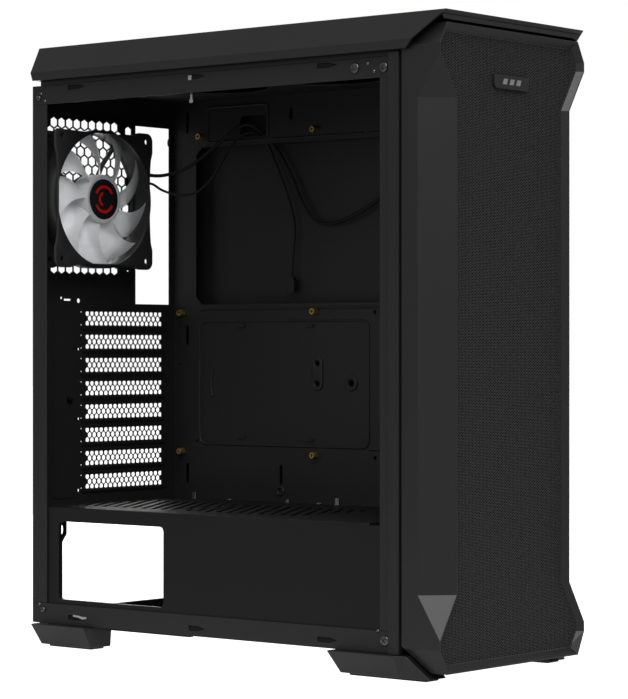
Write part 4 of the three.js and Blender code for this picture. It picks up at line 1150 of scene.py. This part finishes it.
class TOWER_OT_motherboard_tray(bpy.types.Operator):
    """Makes the motherboard tray with its ribs, slots and embossed seats, and the brass standoffs"""
    bl_idname = "tower.motherboard_tray"
    bl_label = "Motherboard tray"

    def execute(self, context):
        cut = 7
        y0, y1, z0, z1 = -38.5, 186.5, 292.7, 433.5
        opening = [(y0 + cut, z0), (y1 - cut, z0), (y1, z0 + cut), (y1, z1 - cut), (y1 - cut, z1),
                   (y0 + cut, z1), (y0, z1 - cut), (y0, z0 + cut)]
        cable_holes = [rectangle(104, 134, 440.5, 459, 3), rectangle(-98, -62, 300, 430, 6),
                       rectangle(-98, -62, 140, 270, 6), rectangle(-115, -24, 22.3, 85.3, 3),
                       rectangle(50, 208, 24, 112, 3)]
        slots = [rectangle(y - 1.6, y + 1.6, low, high, 1.5, 3) for y, low, high in (
            (196.8, 256.6, 274.6), (196.8, 132.4, 150.4), (196.8, 447, 466), (86.8, 134.5, 151.5),
            (75.5, 453, 463))]
        small_holes = [ring(45.5, 240.5, 2.1, 16), ring(45.5, 223, 2.1, 16), ring(7.9, 223.5, 2.6, 16),
                       ring(166.2, 211, 1.3, 12), ring(185.5, 170.4, 1.3, 12), ring(-17.6, 284.4, 1.8, 12),
                       ring(-17.6, 160.3, 1.8, 12), ring(205.9, 239.5, 1.0, 10)]
        tray = Drawing().plate("X", rectangle(-121.5, 213.2, 21.3, 475.7), TRAY_X, TRAY_X + SHEET, [
            opening, *cable_holes, *[ring(y, z, 1.9, 12) for y, z in STANDOFFS], *slots, *small_holes])
        for y, z in ((131.9, 272.5), (53.9, 272.1), (131.9, 174.2), (53.9, 173.2)):
            bridge = [(y + 5 * math.cos(math.pi * k / 6), z + 2.6 * math.sin(math.pi * k / 6)) for k in range(7)]
            tray.plate("X", bridge, TRAY_X - 1.8, TRAY_X + 0.05)
        tray.piece("tray_sheet", "powder_coat", "chassis", "steel", "motherboard_tray")
        seats = Drawing()
        for y, z, radius, half_length, holes, hole_radius in (
                (45.5, 231.7, 6.2, 8.8, [(45.5, 240.5), (45.5, 223)], 2.6),
                (7.9, 223.5, 6.8, 0, [(7.9, 223.5)], 3.4), (86.8, 128.5, 4.2, 0, [(86.8, 128.5)], 2.4)):
            seats.plate("X", box(y, z, radius, half_length + radius, radius - 0.01, 8), TRAY_X - 1.4,
                        TRAY_X + 0.6, [ring(*hole, hole_radius, 20) for hole in holes])
        seats.piece("tray_seats", "powder_coat", "chassis", "steel", edges=(1.0, 4), crisp=40)
        self.ribs()
        for k, (y, z) in enumerate(STANDOFFS):
            post = grow(f"brass_standoff_{k + 1}", "brass", "standoff", radius=3 * MM, length=6.2 * MM,
                        hole=1.45 * MM, stub_length=2.3 * MM, place=mm(TRAY_X - GAP, y, z))
            settle(post, "chassis", "brass", f"standoff_{k + 1}")
        return {"FINISHED"}

    def ribs(self):
        """Pressed ribs: a large rounded rectangle, a frame around the lead hole, and lines."""
        front = TRAY_X - 0.1
        loops = [rectangle(-11.2, 181.7, 168.2, 277.6, 7, 6), rectangle(101.5, 172.1, 437.6, 468.6, 3, 4)]
        bow = [(166.2 + 2.2 * math.sin(math.pi * k / 8), 211 + 25 * k / 8) for k in range(9)]
        lines = [[(181.7, 288.6), (-38, 288.6)], [(-5, 437.2), (97, 437.2)], [(-36, 437.2), (-11, 437.2)],
                 bow, [(-38, 167.2), (-11.2, 167.2)]]
        for name, drawing, closed in (("tray_rib_frames", loops, True), ("tray_rib_lines", lines, False)):
            base = wires(name + "_wires", [[(front, a, b) for a, b in line] for line in drawing], closed)
            piece = grow(name, "powder_coat", "sweep", base, width=2.0 * MM, height=2.0 * MM, sides=8,
                         turn=math.pi / 8)
            settle(piece, "chassis", "steel", crisp=50)


class TOWER_OT_case_sheets(bpy.types.Operator):
    """Makes the roof, floor and front wall, and the screws and studs of the open side, with near-black strips behind
    the rails' slots as painted shade and bright zinc tabs in the slots as painted highlight
    """
    bl_idname = "tower.case_sheets"
    bl_label = "Case sheets"

    def execute(self, context):
        for name, node in (("roof_sheet", "roof_panel"), ("floor_sheet", "floor_pan"),
                           ("front_sheet", "front_wall")):
            rounded_copy(name, node, "powder_coat", "chassis", "steel", 0.45, 3)
        corners = ((-137.2, 469.9, 4.1), (-165.6, 468.8, 3.8), (-166.5, 29.5, 4.1), (201.5, 31.3, 2.4),
                   (206.5, 466.6, 2.2))
        for k, (y, z, radius) in enumerate(corners):
            screw = grow(f"frame_screw_{k + 1}", "dark_nickel", "cross_screw", head_radius=radius * MM,
                         head_height=1.9 * MM, shank_radius=1.6 * MM, shank_length=5 * MM,
                         place=mm(LEFT - 0.05, y, z), turn=QUARTER, roll=0.4 + k)
            settle(screw, "chassis", "screw", crisp=40)
        self.slot_shade_strips()
        self.locating_studs()
        self.slot_glint_tabs()
        return {"FINISHED"}

    def slot_shade_strips(self):
        """Near-black strips behind the rails' slots: painted shade, standing for the dark hollow inside the folded
        rails.
        """
        inner = LEFT + SHEET + 0.1
        shade_plates = Drawing()
        for y in (162.5, 26.5, -109.5):
            for z in (ROOF - 3.4, FLOOR + 6.5):
                shade_plates.plate("X", box(y, z, 13, 2.2), inner, inner + 0.5)
        shade_plates.piece("slot_shade_strips", "black_felt", "chassis", "plastic")

    def locating_studs(self):
        """Small half-round studs beside the corner screws, for locating the missing panel."""
        profile = [(0, LEFT - 1.1), (0.8, LEFT - 0.9), (1.5, LEFT - 0.3), (1.6, LEFT + 0.4), (0, LEFT + 0.4)]
        studs = Drawing()
        for place in ((-155.8, 466.3), (-149.5, 472.6), (-172.8, 36.4), (-159.6, 36.8), (204.6, 470.3),
                      (199.9, 463.9), (206.6, 35.6)):
            studs.lathe("X", place, profile, 20)
        studs.piece("frame_studs", "dark_nickel", "chassis", "screw", crisp=50)

    def slot_glint_tabs(self):
        """Bright zinc tabs in the rails' slots: one hangs behind the roof's rail with a tab in its slot, one shows in
        the floor's rail. They are geometry lit by the lamps, and their bright zinc stands in as painted highlight for
        glints on the slots.
        """
        inner = LEFT + SHEET + 0.1
        glint_tabs = Drawing().plate("X", rectangle(36.2, 38.4, 454.5, 477), inner + 4, inner + 4.8)
        glint_tabs.plate("X", rectangle(35.6, 39.4, 453.4, 456.4, 1, 3), inner + 3.9, inner + 4.9)
        glint_tabs.plate("X", rectangle(32.4, 36, 471.4, 475.2, 0.5, 2), LEFT - 0.3, LEFT + SHEET + 0.3)
        glint_tabs.plate("X", [(151, 26.4), (156, 25.6), (160, 26.8), (166.5, 27.4), (166.5, 29), (159.5, 28.6),
                          (155, 27.8), (151, 28)], LEFT - 0.3, LEFT + SHEET + 0.2)
        # Bright zinc on these tabs is partly painted highlight: it stands for glints in the rails' slots.
        glint_tabs.piece("slot_glint_tabs", "zinc", "chassis", "screw", edges=(0.15, 1))


class TOWER_OT_shroud(bpy.types.Operator):
    """Makes the power-supply shroud with its slanted vents and window, and the catches along the tray"""
    bl_idname = "tower.shroud"
    bl_label = "Power-supply shroud"

    def execute(self, context):
        x0, x1 = LEFT + SHEET + GAP, TRAY_X - GAP
        front, rear = -150, 213.2
        fold = 1.6
        top = Drawing().plate("Z", rectangle(x0 + fold, x1, front, rear), SHROUD_TOP - SHEET, SHROUD_TOP)
        mesh = top.mesh("shroud_top")
        for k, (low, high) in enumerate(((84, 202), (-50, 77))):
            piece = grow(f"shroud_top_{k}", "powder_coat", "slant_slots", mesh, count=26, pitch=11.3 * MM,
                         slot_width=4.6 * MM, slope=0.545, field_size=mm(104, high - low, 6),
                         field_centre=mm(-10, (low + high) / 2, SHROUD_TOP - 0.5))
            mesh = piece.data
            bpy.data.objects.remove(piece)
        window = rectangle(64.6, 184.5, 41, 107, 4)
        shroud = Drawing(mesh)
        shroud.plate("X", rectangle(-181.2, rear, 21.3, SHROUD_TOP - fold), x0, x0 + SHEET, [window])
        shroud.plate("X", rectangle(63.6, 185.5, 40, 108, 5), x0 + SHEET - 0.02, x0 + SHEET + 2.2, [window])
        bend = band(x0 + fold, SHROUD_TOP - fold, fold, fold - SHEET, math.pi, QUARTER, 6)
        shroud.plate("Y", bend, front, rear)
        # The shroud takes the darkened copy of the powder coat: painted shade.
        shroud.piece("shroud_sheet", "shroud_coat", "chassis", "steel", "psu_shroud", crisp=25)
        foot = SHROUD_TOP + 0.1
        catches = Drawing()
        for y, half, top in ((187.7, 1.9, 124.4), (146, 1.5, 119.9), (78.5, 1.4, 121.6), (42.7, 1.5, 119.9),
                             (22.8, 1.9, 124.6)):
            catches.plate("X", rectangle(y - half, y + half, foot, top, 0.4, 2), TRAY_X - 1.6, TRAY_X - 0.8)
            catches.block(TRAY_X - 3.2, TRAY_X - 0.9, y - half * 0.8, y + half * 0.8, foot, SHROUD_TOP + 0.7)
        catches.piece("shroud_catches", "zinc", "chassis", "steel", edges=(0.2, 1))
        return {"FINISHED"}


class TOWER_OT_drive_bay(bpy.types.Operator):
    """Makes the drive cage and its two trays"""
    bl_idname = "tower.drive_bay"
    bl_label = "Drive bay"

    def execute(self, context):
        rounded_copy("drive_cage_sheet", "drive_cage", "powder_coat", "chassis", "steel", 0.2, 1)
        for node in ("drive_tray_1", "drive_tray_2"):
            rounded_copy(node + "_moulding", node, "moulded_plastic", "chassis", "plastic", 0.5)
        return {"FINISHED"}


# ---------------------------------------------------------------- rear fan

class TOWER_OT_rear_fan(bpy.types.Operator):
    """Makes the fan's frame, blades, hub and screws"""
    bl_idname = "tower.rear_fan"
    bl_label = "Rear fan"

    def execute(self, context):
        self.fan_frame()
        self.rotor(context.scene.tower_pattern)
        for k, (x, z) in enumerate(FAN_SCREWS):
            screw = grow(f"fan_fixing_{k + 1}", "black_screw", "cross_screw", head_radius=4 * MM,
                         head_height=2.2 * MM, shank_radius=1.8 * MM, shank_length=12 * MM,
                         place=mm(x, REAR + GAP, z), roll=0.3 * k)
            settle(screw, "chassis", "screw", f"fan_screw_{k + 1}", crisp=40)
        return {"FINISHED"}

    def flange(self, waist=3.4, corner=7, half=60, ear=13):
        """Square with round ears, drawn in between them by the waist."""
        points = []
        for quarter in range(4):
            turn = Matrix.Rotation(quarter * QUARTER, 2)
            rounding = [around(half - corner, half - corner, corner, QUARTER * s / 6) for s in range(7)]
            inner = half - ear
            dip = [(inner - 4 - (inner * 2 - 8) * s / 12, half - waist * math.sin(math.pi * s / 12) ** 0.35
                    if 0 < s < 12 else half) for s in range(13)]
            points += [tuple(turn @ Vector(p)) for p in rounding + dip]
        x, z = FAN_CENTRE
        return [(x + a, z + b) for a, b in points]

    def fan_frame(self):
        x, z = FAN_CENTRE
        bore = ring(x, z, FAN_BORE, 96)
        flange = self.flange()
        shell = Drawing()
        for low, high, radius in ((FAN_FRONT, FAN_FRONT + 2.6, 2.5), (FAN_REAR - 4, FAN_REAR, 2.2)):
            shell.plate("Y", flange, low, high, [bore, *[ring(*place, radius, 16) for place in FAN_SCREWS]])
        tube = [(max(x - 59.6, min(x + 59.6, a)), max(z - 59.6, min(z + 59.6, b)))
                for a, b in ring(x, z, 60.2, 96)]
        shell.plate("Y", tube, FAN_FRONT + 2.58, FAN_REAR - 3.98, [bore])
        shell.plate("Y", ring(x, z, HUB_RADIUS, 48), FAN_REAR - 3, FAN_REAR)
        piece = new_piece("fan_housing", shell.mesh("fan_housing"), "fan_plastic")
        bevelled(piece, 0.5, 2, 40)
        shell = Drawing(piece.data)
        for k in range(4):
            angle = -math.pi / 5 - k * QUARTER
            along = Vector((math.cos(angle), math.sin(angle)))
            across = Vector((-along.y, along.x))
            ends = [along * r + across * w for r, w in (
                (18, -1.8), (38, 0.6), (FAN_BORE + 0.6, -1.4), (FAN_BORE + 0.6, 1.4), (38, 3.8), (18, 1.8))]
            shell.plate("Y", [(x + p.x, z + p.y) for p in ends], FAN_REAR - 2.9, FAN_REAR - 0.1)
        piece.data = shell.mesh("fan_housing")
        piece.data.materials.append(material("fan_plastic"))
        settle(piece, "chassis", "plastic", "rear_fan_frame", crisp=30)

    def rotor(self, settings):
        x, z = FAN_CENTRE
        front, rear = FAN_FRONT + 1.5, FAN_REAR - 3.6
        blades = grow("fan_blades", "frosted_plastic", "blade_ring", self.blade(),
                      blades=settings.blade_count, centre=mm(x, (front + rear) / 2, z))
        settle(blades, "rotor", "frosted", "rear_fan_rotor", crisp=50)
        for name, finish_name, slot, profile in (
                ("fan_hub", "frosted_plastic", "frosted", [
                    (0, front + 0.4), (17.6, front + 0.4), (18.2, front), (20.2, front), (21.1, front + 0.5),
                    (21.5, front + 1.6), (21.5, rear - 0.4), (21.1, rear), (0, rear)]),
                ("fan_hub_disc", "hub_gloss", "plastic", [
                    (0, front - 0.25), (16.9, front - 0.2), (17.4, front + 0.1), (17.4, front + 0.45),
                    (0, front + 0.45)])):
            Drawing().lathe("Y", FAN_CENTRE, profile, 72).piece(name, finish_name, "rotor", slot, crisp=35)
        mark = Drawing()
        for first, last, inner, outer in ((0.15, 0.85, 9.6, 12.2), (1.15, 1.85, 9.6, 12.2), (0.6, 1.4, 4.2, 6.6)):
            arc = band(x, z, outer, inner, math.pi * first, math.pi * last, 14)
            mark.plate("Y", arc, front - 0.42, front - 0.1)
        mark.piece("fan_hub_rings", "hub_mark", "rotor", "plastic")

    def blade(self):
        """One swept, twisted and cambered blade about the Y axis, drawn at the origin."""
        stations, chords = 14, 10
        blade = Drawing()
        grid = []
        for s in range(stations + 1):
            t = s / stations
            radius = HUB_RADIUS - 1 + (BLADE_TIP - HUB_RADIUS + 1) * t
            sweep = 0.42 * t ** 1.6
            half_angle = 0.33 - 0.05 * t
            rise = 8.6 - 2.0 * t
            thick = 1.5 - 0.8 * t
            loop = []
            for side in (-1, 1):
                for c in range(chords + 1) if side < 0 else range(chords - 1, 0, -1):
                    u = c / chords * 2 - 1
                    wall = thick / 2 * math.sqrt(max(0.02, 1 - u * u)) * side
                    camber = 1.5 * (1 - u * u) * (0.5 + 0.5 * t)
                    a, b = around(0, 0, radius, sweep + half_angle * u)
                    loop.append(blade.bm.verts.new((a, -rise * u + wall - camber, b)))
            grid.append(loop)
        n = len(grid[0])
        for first, last in zip(grid, grid[1:]):
            for k in range(n):
                blade.bm.faces.new((first[k], first[(k + 1) % n], last[(k + 1) % n], last[k]))
        blade.bm.faces.new(reversed(grid[0]))
        blade.bm.faces.new(grid[-1])
        bmesh.ops.recalc_face_normals(blade.bm, faces=blade.bm.faces)
        return blade.mesh("fan_blade")


# ---------------------------------------------------------------- top cover and controls

class TOWER_OT_top_cover(bpy.types.Operator):
    """Makes the moulded top cover with its lip, the dust filter in it and the board under the controls"""
    bl_idname = "tower.top_cover"
    bl_label = "Top cover"

    def execute(self, context):
        rounded_copy("top_cover_moulding", "top_cover", "moulded_plastic", "chassis", "plastic", 0.8, 3, 14)
        lip = Drawing().plate("Y", [(-89.6, 502.2), (89.6, 502.2), (91.8, 506.2), (-91.8, 506.2)],
                              -220.4, -218.4)
        lip.piece("top_cover_lip", "moulded_plastic", "chassis", "plastic", edges=(0.4, 2))
        dust_filter(context.scene.tower_pattern, "top_dust_filter", "top_filter", (-65.7, 65.7, -89.7, 179.7),
                    COVER_TOP - 1.7, COVER_TOP, 7)
        board = frame["nodes"]["control_board"].data.materials
        board.clear()
        board.append(material("circuit_board"))
        return {"FINISHED"}


def dust_filter(settings, name, node, limits, low, high, border):
    """Frame with a square net of threads and a cross bar, lying across Z. Its body has the node's name."""
    x0, x1, y0, y1 = limits
    inner = rectangle(x0 + border, x1 - border, y0 + border, y1 - border, 3)
    middle = (y0 + y1) / 2
    edge = Drawing().plate("Z", rectangle(x0, x1, y0, y1, 2), low, high, [inner])
    edge.block(x0 + border - 0.5, x1 - border + 0.5, middle - 2, middle + 2, low, high - 0.3)
    edge.piece(name, "fan_plastic", node, "mesh", node, edges=(0.3, 2), crisp=32)
    at = (low + high) / 2
    lines = [[(*a, at), (*b, at)] for a, b in square_lines(inner, settings.filter_pitch / MM)]
    thread = settings.filter_thread * SQUARE_SECTION
    net = grow(name + "_net", "filter_net", "sweep", wires(name, lines), width=thread, height=thread, sides=4,
               turn=math.pi / 4)
    settle(net, node, "mesh")


class TOWER_OT_controls(bpy.types.Operator):
    """Makes the buttons, USB ports and audio jacks in the top cover"""
    bl_idname = "tower.controls"
    bl_label = "Buttons and ports"

    def execute(self, context):
        self.button("power_button", 0, 7.7, 0.7)
        self.button("reset_button", 18, 3, 0.3)
        self.power_symbol()
        for name, x in (("usb3_port", 62), ("usb2_port_1", -34), ("usb2_port_2", -56)):
            self.usb(name, x)
        for name, x in (("headphone_jack", 44), ("microphone_jack", 31)):
            self.jack(name, x)
        return {"FINISHED"}

    def button(self, name, x, radius, proud):
        """Dished cap on a stem. Its body has the node's name."""
        top = COVER_TOP + proud
        low = BOARD_LOW + BOARD_SHEET + GAP
        dish = radius * 0.72
        Drawing().lathe("Z", (x, CONTROLS_Y), [
            (0, low), (radius * 0.4, low), (radius * 0.4, top - 5), (radius, top - 5), (radius, top - 0.7),
            (radius - 0.2, top - 0.2), (radius - 0.7, top), (dish, top), (dish * 0.7, top - 0.25),
            (dish * 0.3, top - 0.4), (0, top - 0.42)], 48).piece(
                name + "_cap", "button_gloss", name, "plastic", name, crisp=35)

    def power_symbol(self):
        """Plain ring and bar on the power button."""
        low, top = COVER_TOP + 0.2, COVER_TOP + 0.5
        arc = band(0, CONTROLS_Y, 3.2, 2.6, math.radians(122), math.radians(418), 24)
        symbol = Drawing().plate("Z", arc, low, top)
        symbol.plate("Z", rectangle(-0.32, 0.32, CONTROLS_Y + 0.9, CONTROLS_Y + 3.6), low, top)
        symbol.piece("power_button_symbol", "pale_print", "power_button", "plastic")

    def usb(self, name, x):
        """Metal shell with springs, a tongue and four contacts."""
        y = CONTROLS_Y
        low, top = BOARD_LOW + GAP, COVER_TOP - 0.2
        outer = box(x, y, 6.6, 2.9, 0.6, 3)
        shell = Drawing().plate("Z", outer, low + 0.5, top, [box(x, y, 6.1, 2.4)])
        shell.plate("Z", outer, low, low + 0.52)
        for wall in (y - 2.4, y + 2.4):
            for near, far in ((-3.4, -1.2), (1.2, 3.4)):
                shell.block(x + near, x + far, wall - 0.15, wall + 0.15, top - 7, top - 3)
        shell.piece(name + "_shell", "zinc", "chassis", "screw", name)
        Drawing().block(x - 5.6, x + 5.6, y - 1.9, y - 0.3, low + 0.4, top - 1.3).piece(
            name + "_tongue", "fast_port" if name == "usb3_port" else "button_gloss", "chassis", "plastic",
            edges=(0.2, 2))
        contacts = Drawing()
        for at in (x + (k - 1.5) * 2.4 for k in range(4)):
            contacts.block(at - 0.5, at + 0.5, y - 0.32, y - 0.15, top - 9, top - 1.8)
        contacts.piece(name + "_contacts", "brass", "chassis", "brass")

    def jack(self, name, x):
        low, top = BOARD_LOW + GAP, COVER_TOP - 0.2
        Drawing().lathe("Z", (x, CONTROLS_Y), [
            (0, low), (4, low), (4, top - 0.3), (3.7, top), (2.9, top), (2.75, top - 0.35),
            (1.85, top - 0.35), (1.85, low + 2.7), (0, low + 2.7)], 40).piece(
                name + "_socket", "button_gloss", "chassis", "plastic", name, crisp=35)


# ---------------------------------------------------------------- front bezel

def front_outline(inset):
    """Outline of the bezel's front face with its waist, in X and Z."""
    end, wide, waist = 88.2 - inset * 0.7, 97.2 - inset, 76 - inset
    right = [(end, 7 + inset), (wide, 25.5), (wide, 33), (waist, 66.5), (waist, 443.5), (wide, 476.5),
             (wide, 483.5), (end, 500 - inset)]
    return right + [(-x, z) for x, z in reversed(right)]


class TOWER_OT_front(bpy.types.Operator):
    """Makes the front bezel, the mesh set in it and the plain badge"""
    bl_idname = "tower.front"
    bl_label = "Front bezel"

    def execute(self, context):
        settings = context.scene.tower_pattern
        rounded_copy("front_bezel_moulding", "front_bezel", "moulded_plastic", "bezel", "plastic", 0.5, 3, 14)
        back = BEZEL_BACK
        diamonds = lattice_lines(front_outline(4.4), settings.mesh_width / MM, settings.mesh_height / MM)
        lines = [[(a[0], back + 0.5, a[1]), (b[0], back + 0.5, b[1])] for a, b in diamonds]
        bars = grow("front_mesh_bars", "mesh_paint", "sweep", wires("mesh_bars", lines),
                    width=settings.mesh_bar * SQUARE_SECTION, height=0.6 * MM * SQUARE_SECTION, sides=4,
                    turn=math.pi / 4)
        settle(bars, "bezel", "mesh", "front_mesh")
        Drawing().plate("Y", front_outline(3.8), back, back + 1, [front_outline(6.8)]).piece(
            "front_mesh_rim", "mesh_paint", "bezel", "mesh")
        Drawing().plate("Y", front_outline(4.4), back + 1.1, back + 1.5).piece(
            "front_mesh_lining", "filter_net", "bezel", "mesh")
        rounded_copy("front_badge_plate", "badge", "button_gloss", "bezel", "plastic", 0.35, 2)
        marks = Drawing()
        for x in (-9, 0, 9):
            bar = [(x - 3.4, 458.6), (x + 1.6, 458.6), (x + 3.4, 463), (x - 1.6, 463)]
            marks.plate("Y", bar, -218.75, -218.4)
        marks.piece("front_badge_bars", "zinc", "bezel", "plastic")
        return {"FINISHED"}


class TOWER_OT_right_panel(bpy.types.Operator):
    """Makes the right side panel and its two thumbscrews"""
    bl_idname = "tower.right_panel"
    bl_label = "Right side panel"

    def execute(self, context):
        rounded_copy("right_panel_sheet", "right_side_panel", "powder_coat", "side_panel", "steel", 0.3, 2)
        seat = REAR + GAP + SHEET + GAP
        for k, z in enumerate(PANEL_SCREWS_Z):
            knob = grow(f"panel_thumbscrew_{k + 1}_knurled", "black_screw", "thumbscrew",
                        place=mm(RIGHT - 6, seat, z))
            settle(knob, "side_panel", "screw", f"panel_thumbscrew_{k + 1}")
        return {"FINISHED"}


class TOWER_OT_feet(bpy.types.Operator):
    """Makes the four feet with their pads and the dust filter under the floor"""
    bl_idname = "tower.feet"
    bl_label = "Feet and floor filter"

    def execute(self, context):
        for side in ("left", "right"):
            for end in ("rear", "front"):
                node = f"{end}_{side}_foot"
                rounded_copy(node + "_moulding", node, "moulded_plastic", "chassis", "plastic", 0.8, 3)
        dust_filter(context.scene.tower_pattern, "floor_dust_filter", "psu_filter", (-64.6, 64.6, 64, 206),
                    16.2, 17.6, 6)
        tab = Drawing().plate("Z", rectangle(-20, 20, 205.9, 214, 1.5, 3), 16.2, 18.8)
        for k in range(5):
            tab.block(-12 + k * 5.5, -10 + k * 5.5, 207, 212.5, 15.9, 16.25)
        tab.piece("floor_filter_tab", "fan_plastic", "psu_filter", "plastic", edges=(0.3, 2))
        return {"FINISHED"}


# ---------------------------------------------------------------- add-on

OPERATORS = (TOWER_OT_stage, TOWER_OT_leads, TOWER_OT_rear_panel, TOWER_OT_slot_covers,
             TOWER_OT_motherboard_tray, TOWER_OT_case_sheets, TOWER_OT_shroud, TOWER_OT_drive_bay,
             TOWER_OT_rear_fan, TOWER_OT_top_cover, TOWER_OT_controls, TOWER_OT_front, TOWER_OT_right_panel,
             TOWER_OT_feet)


class TOWER_PT_sidebar(bpy.types.Panel):
    """Lists the tower's pieces and their settings"""
    bl_idname = "TOWER_PT_sidebar"
    bl_label = "Mid-tower case"
    bl_space_type = "VIEW_3D"
    bl_region_type = "UI"
    bl_category = "Tower"

    def draw(self, context):
        for operator in OPERATORS:
            self.layout.operator(operator.bl_idname)
        for group in (context.scene.tower_finish, context.scene.tower_pattern, context.scene.tower_stage):
            column = self.layout.box()
            for name in group.bl_rna.properties.keys():
                if name not in ("rna_type", "name"):
                    column.prop(group, name)


GROUPS = {"tower_finish": TowerFinishSettings, "tower_pattern": TowerPatternSettings,
          "tower_stage": TowerStageSettings}


def register():
    for cls in (*GROUPS.values(), *OPERATORS, TOWER_PT_sidebar):
        bpy.utils.register_class(cls)
    for name, cls in GROUPS.items():
        setattr(bpy.types.Scene, name, bpy.props.PointerProperty(type=cls))


def unregister():
    for name in GROUPS:
        delattr(bpy.types.Scene, name)
    for cls in reversed((*GROUPS.values(), *OPERATORS, TOWER_PT_sidebar)):
        bpy.utils.unregister_class(cls)


def make_finishes(settings):
    coated_steel(settings, "powder_coat", 1.0, 0.5)
    # The shroud's copy of the powder coat, darker and duller than the other sheets: painted shade on the shroud.
    coated_steel(settings, "shroud_coat", 0.6, 0.3)
    moulded_plastic(settings)
    mesh_paint(settings)
    fan_plastic(settings)
    frosted_plastic(settings)
    cable_sheath(settings)
    circuit_board()
    turned_metal("brass", settings.brass_colour, 0.28, 0)
    turned_metal("zinc", settings.zinc_colour, 0.2, 1)
    turned_metal("black_screw", (0.05, 0.05, 0.055), 0.3, 1)
    turned_metal("dark_nickel", (0.16, 0.16, 0.17), 0.12, 1)
    plain_moulding("connector_plastic", settings.cable_colour, 0.5, 900)
    plain_moulding("button_gloss", settings.plastic_colour, 0.25, 1500)
    plain_moulding("hub_gloss", (0.012, 0.012, 0.014), 0.2, 1200)
    plain_moulding("hub_mark", settings.mark_colour, 0.3, 1500)
    plain_moulding("pale_print", (0.55, 0.56, 0.58), 0.5, 1500)
    plain_moulding("fast_port", settings.port_colour, 0.35, 1500)
    plain_moulding("filter_net", (0.022, 0.022, 0.023), 0.6, 2500)
    # Near-black, matt finish of the strips behind the rails' slots: painted shade.
    plain_moulding("black_felt", (0.002, 0.002, 0.002), 0.85, 2500)


def main():
    register()
    make_finishes(bpy.context.scene.tower_finish)
    for operator in OPERATORS:
        group, name = operator.bl_idname.split(".")
        getattr(getattr(bpy.ops, group), name)()
    with open("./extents.json", "w") as out:
        json.dump({"cad": [list(corner) for corner in CAD_BOX],
                   "visual": [list(corner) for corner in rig.bounds()]}, out)


if __name__ == "__main__":
    main()
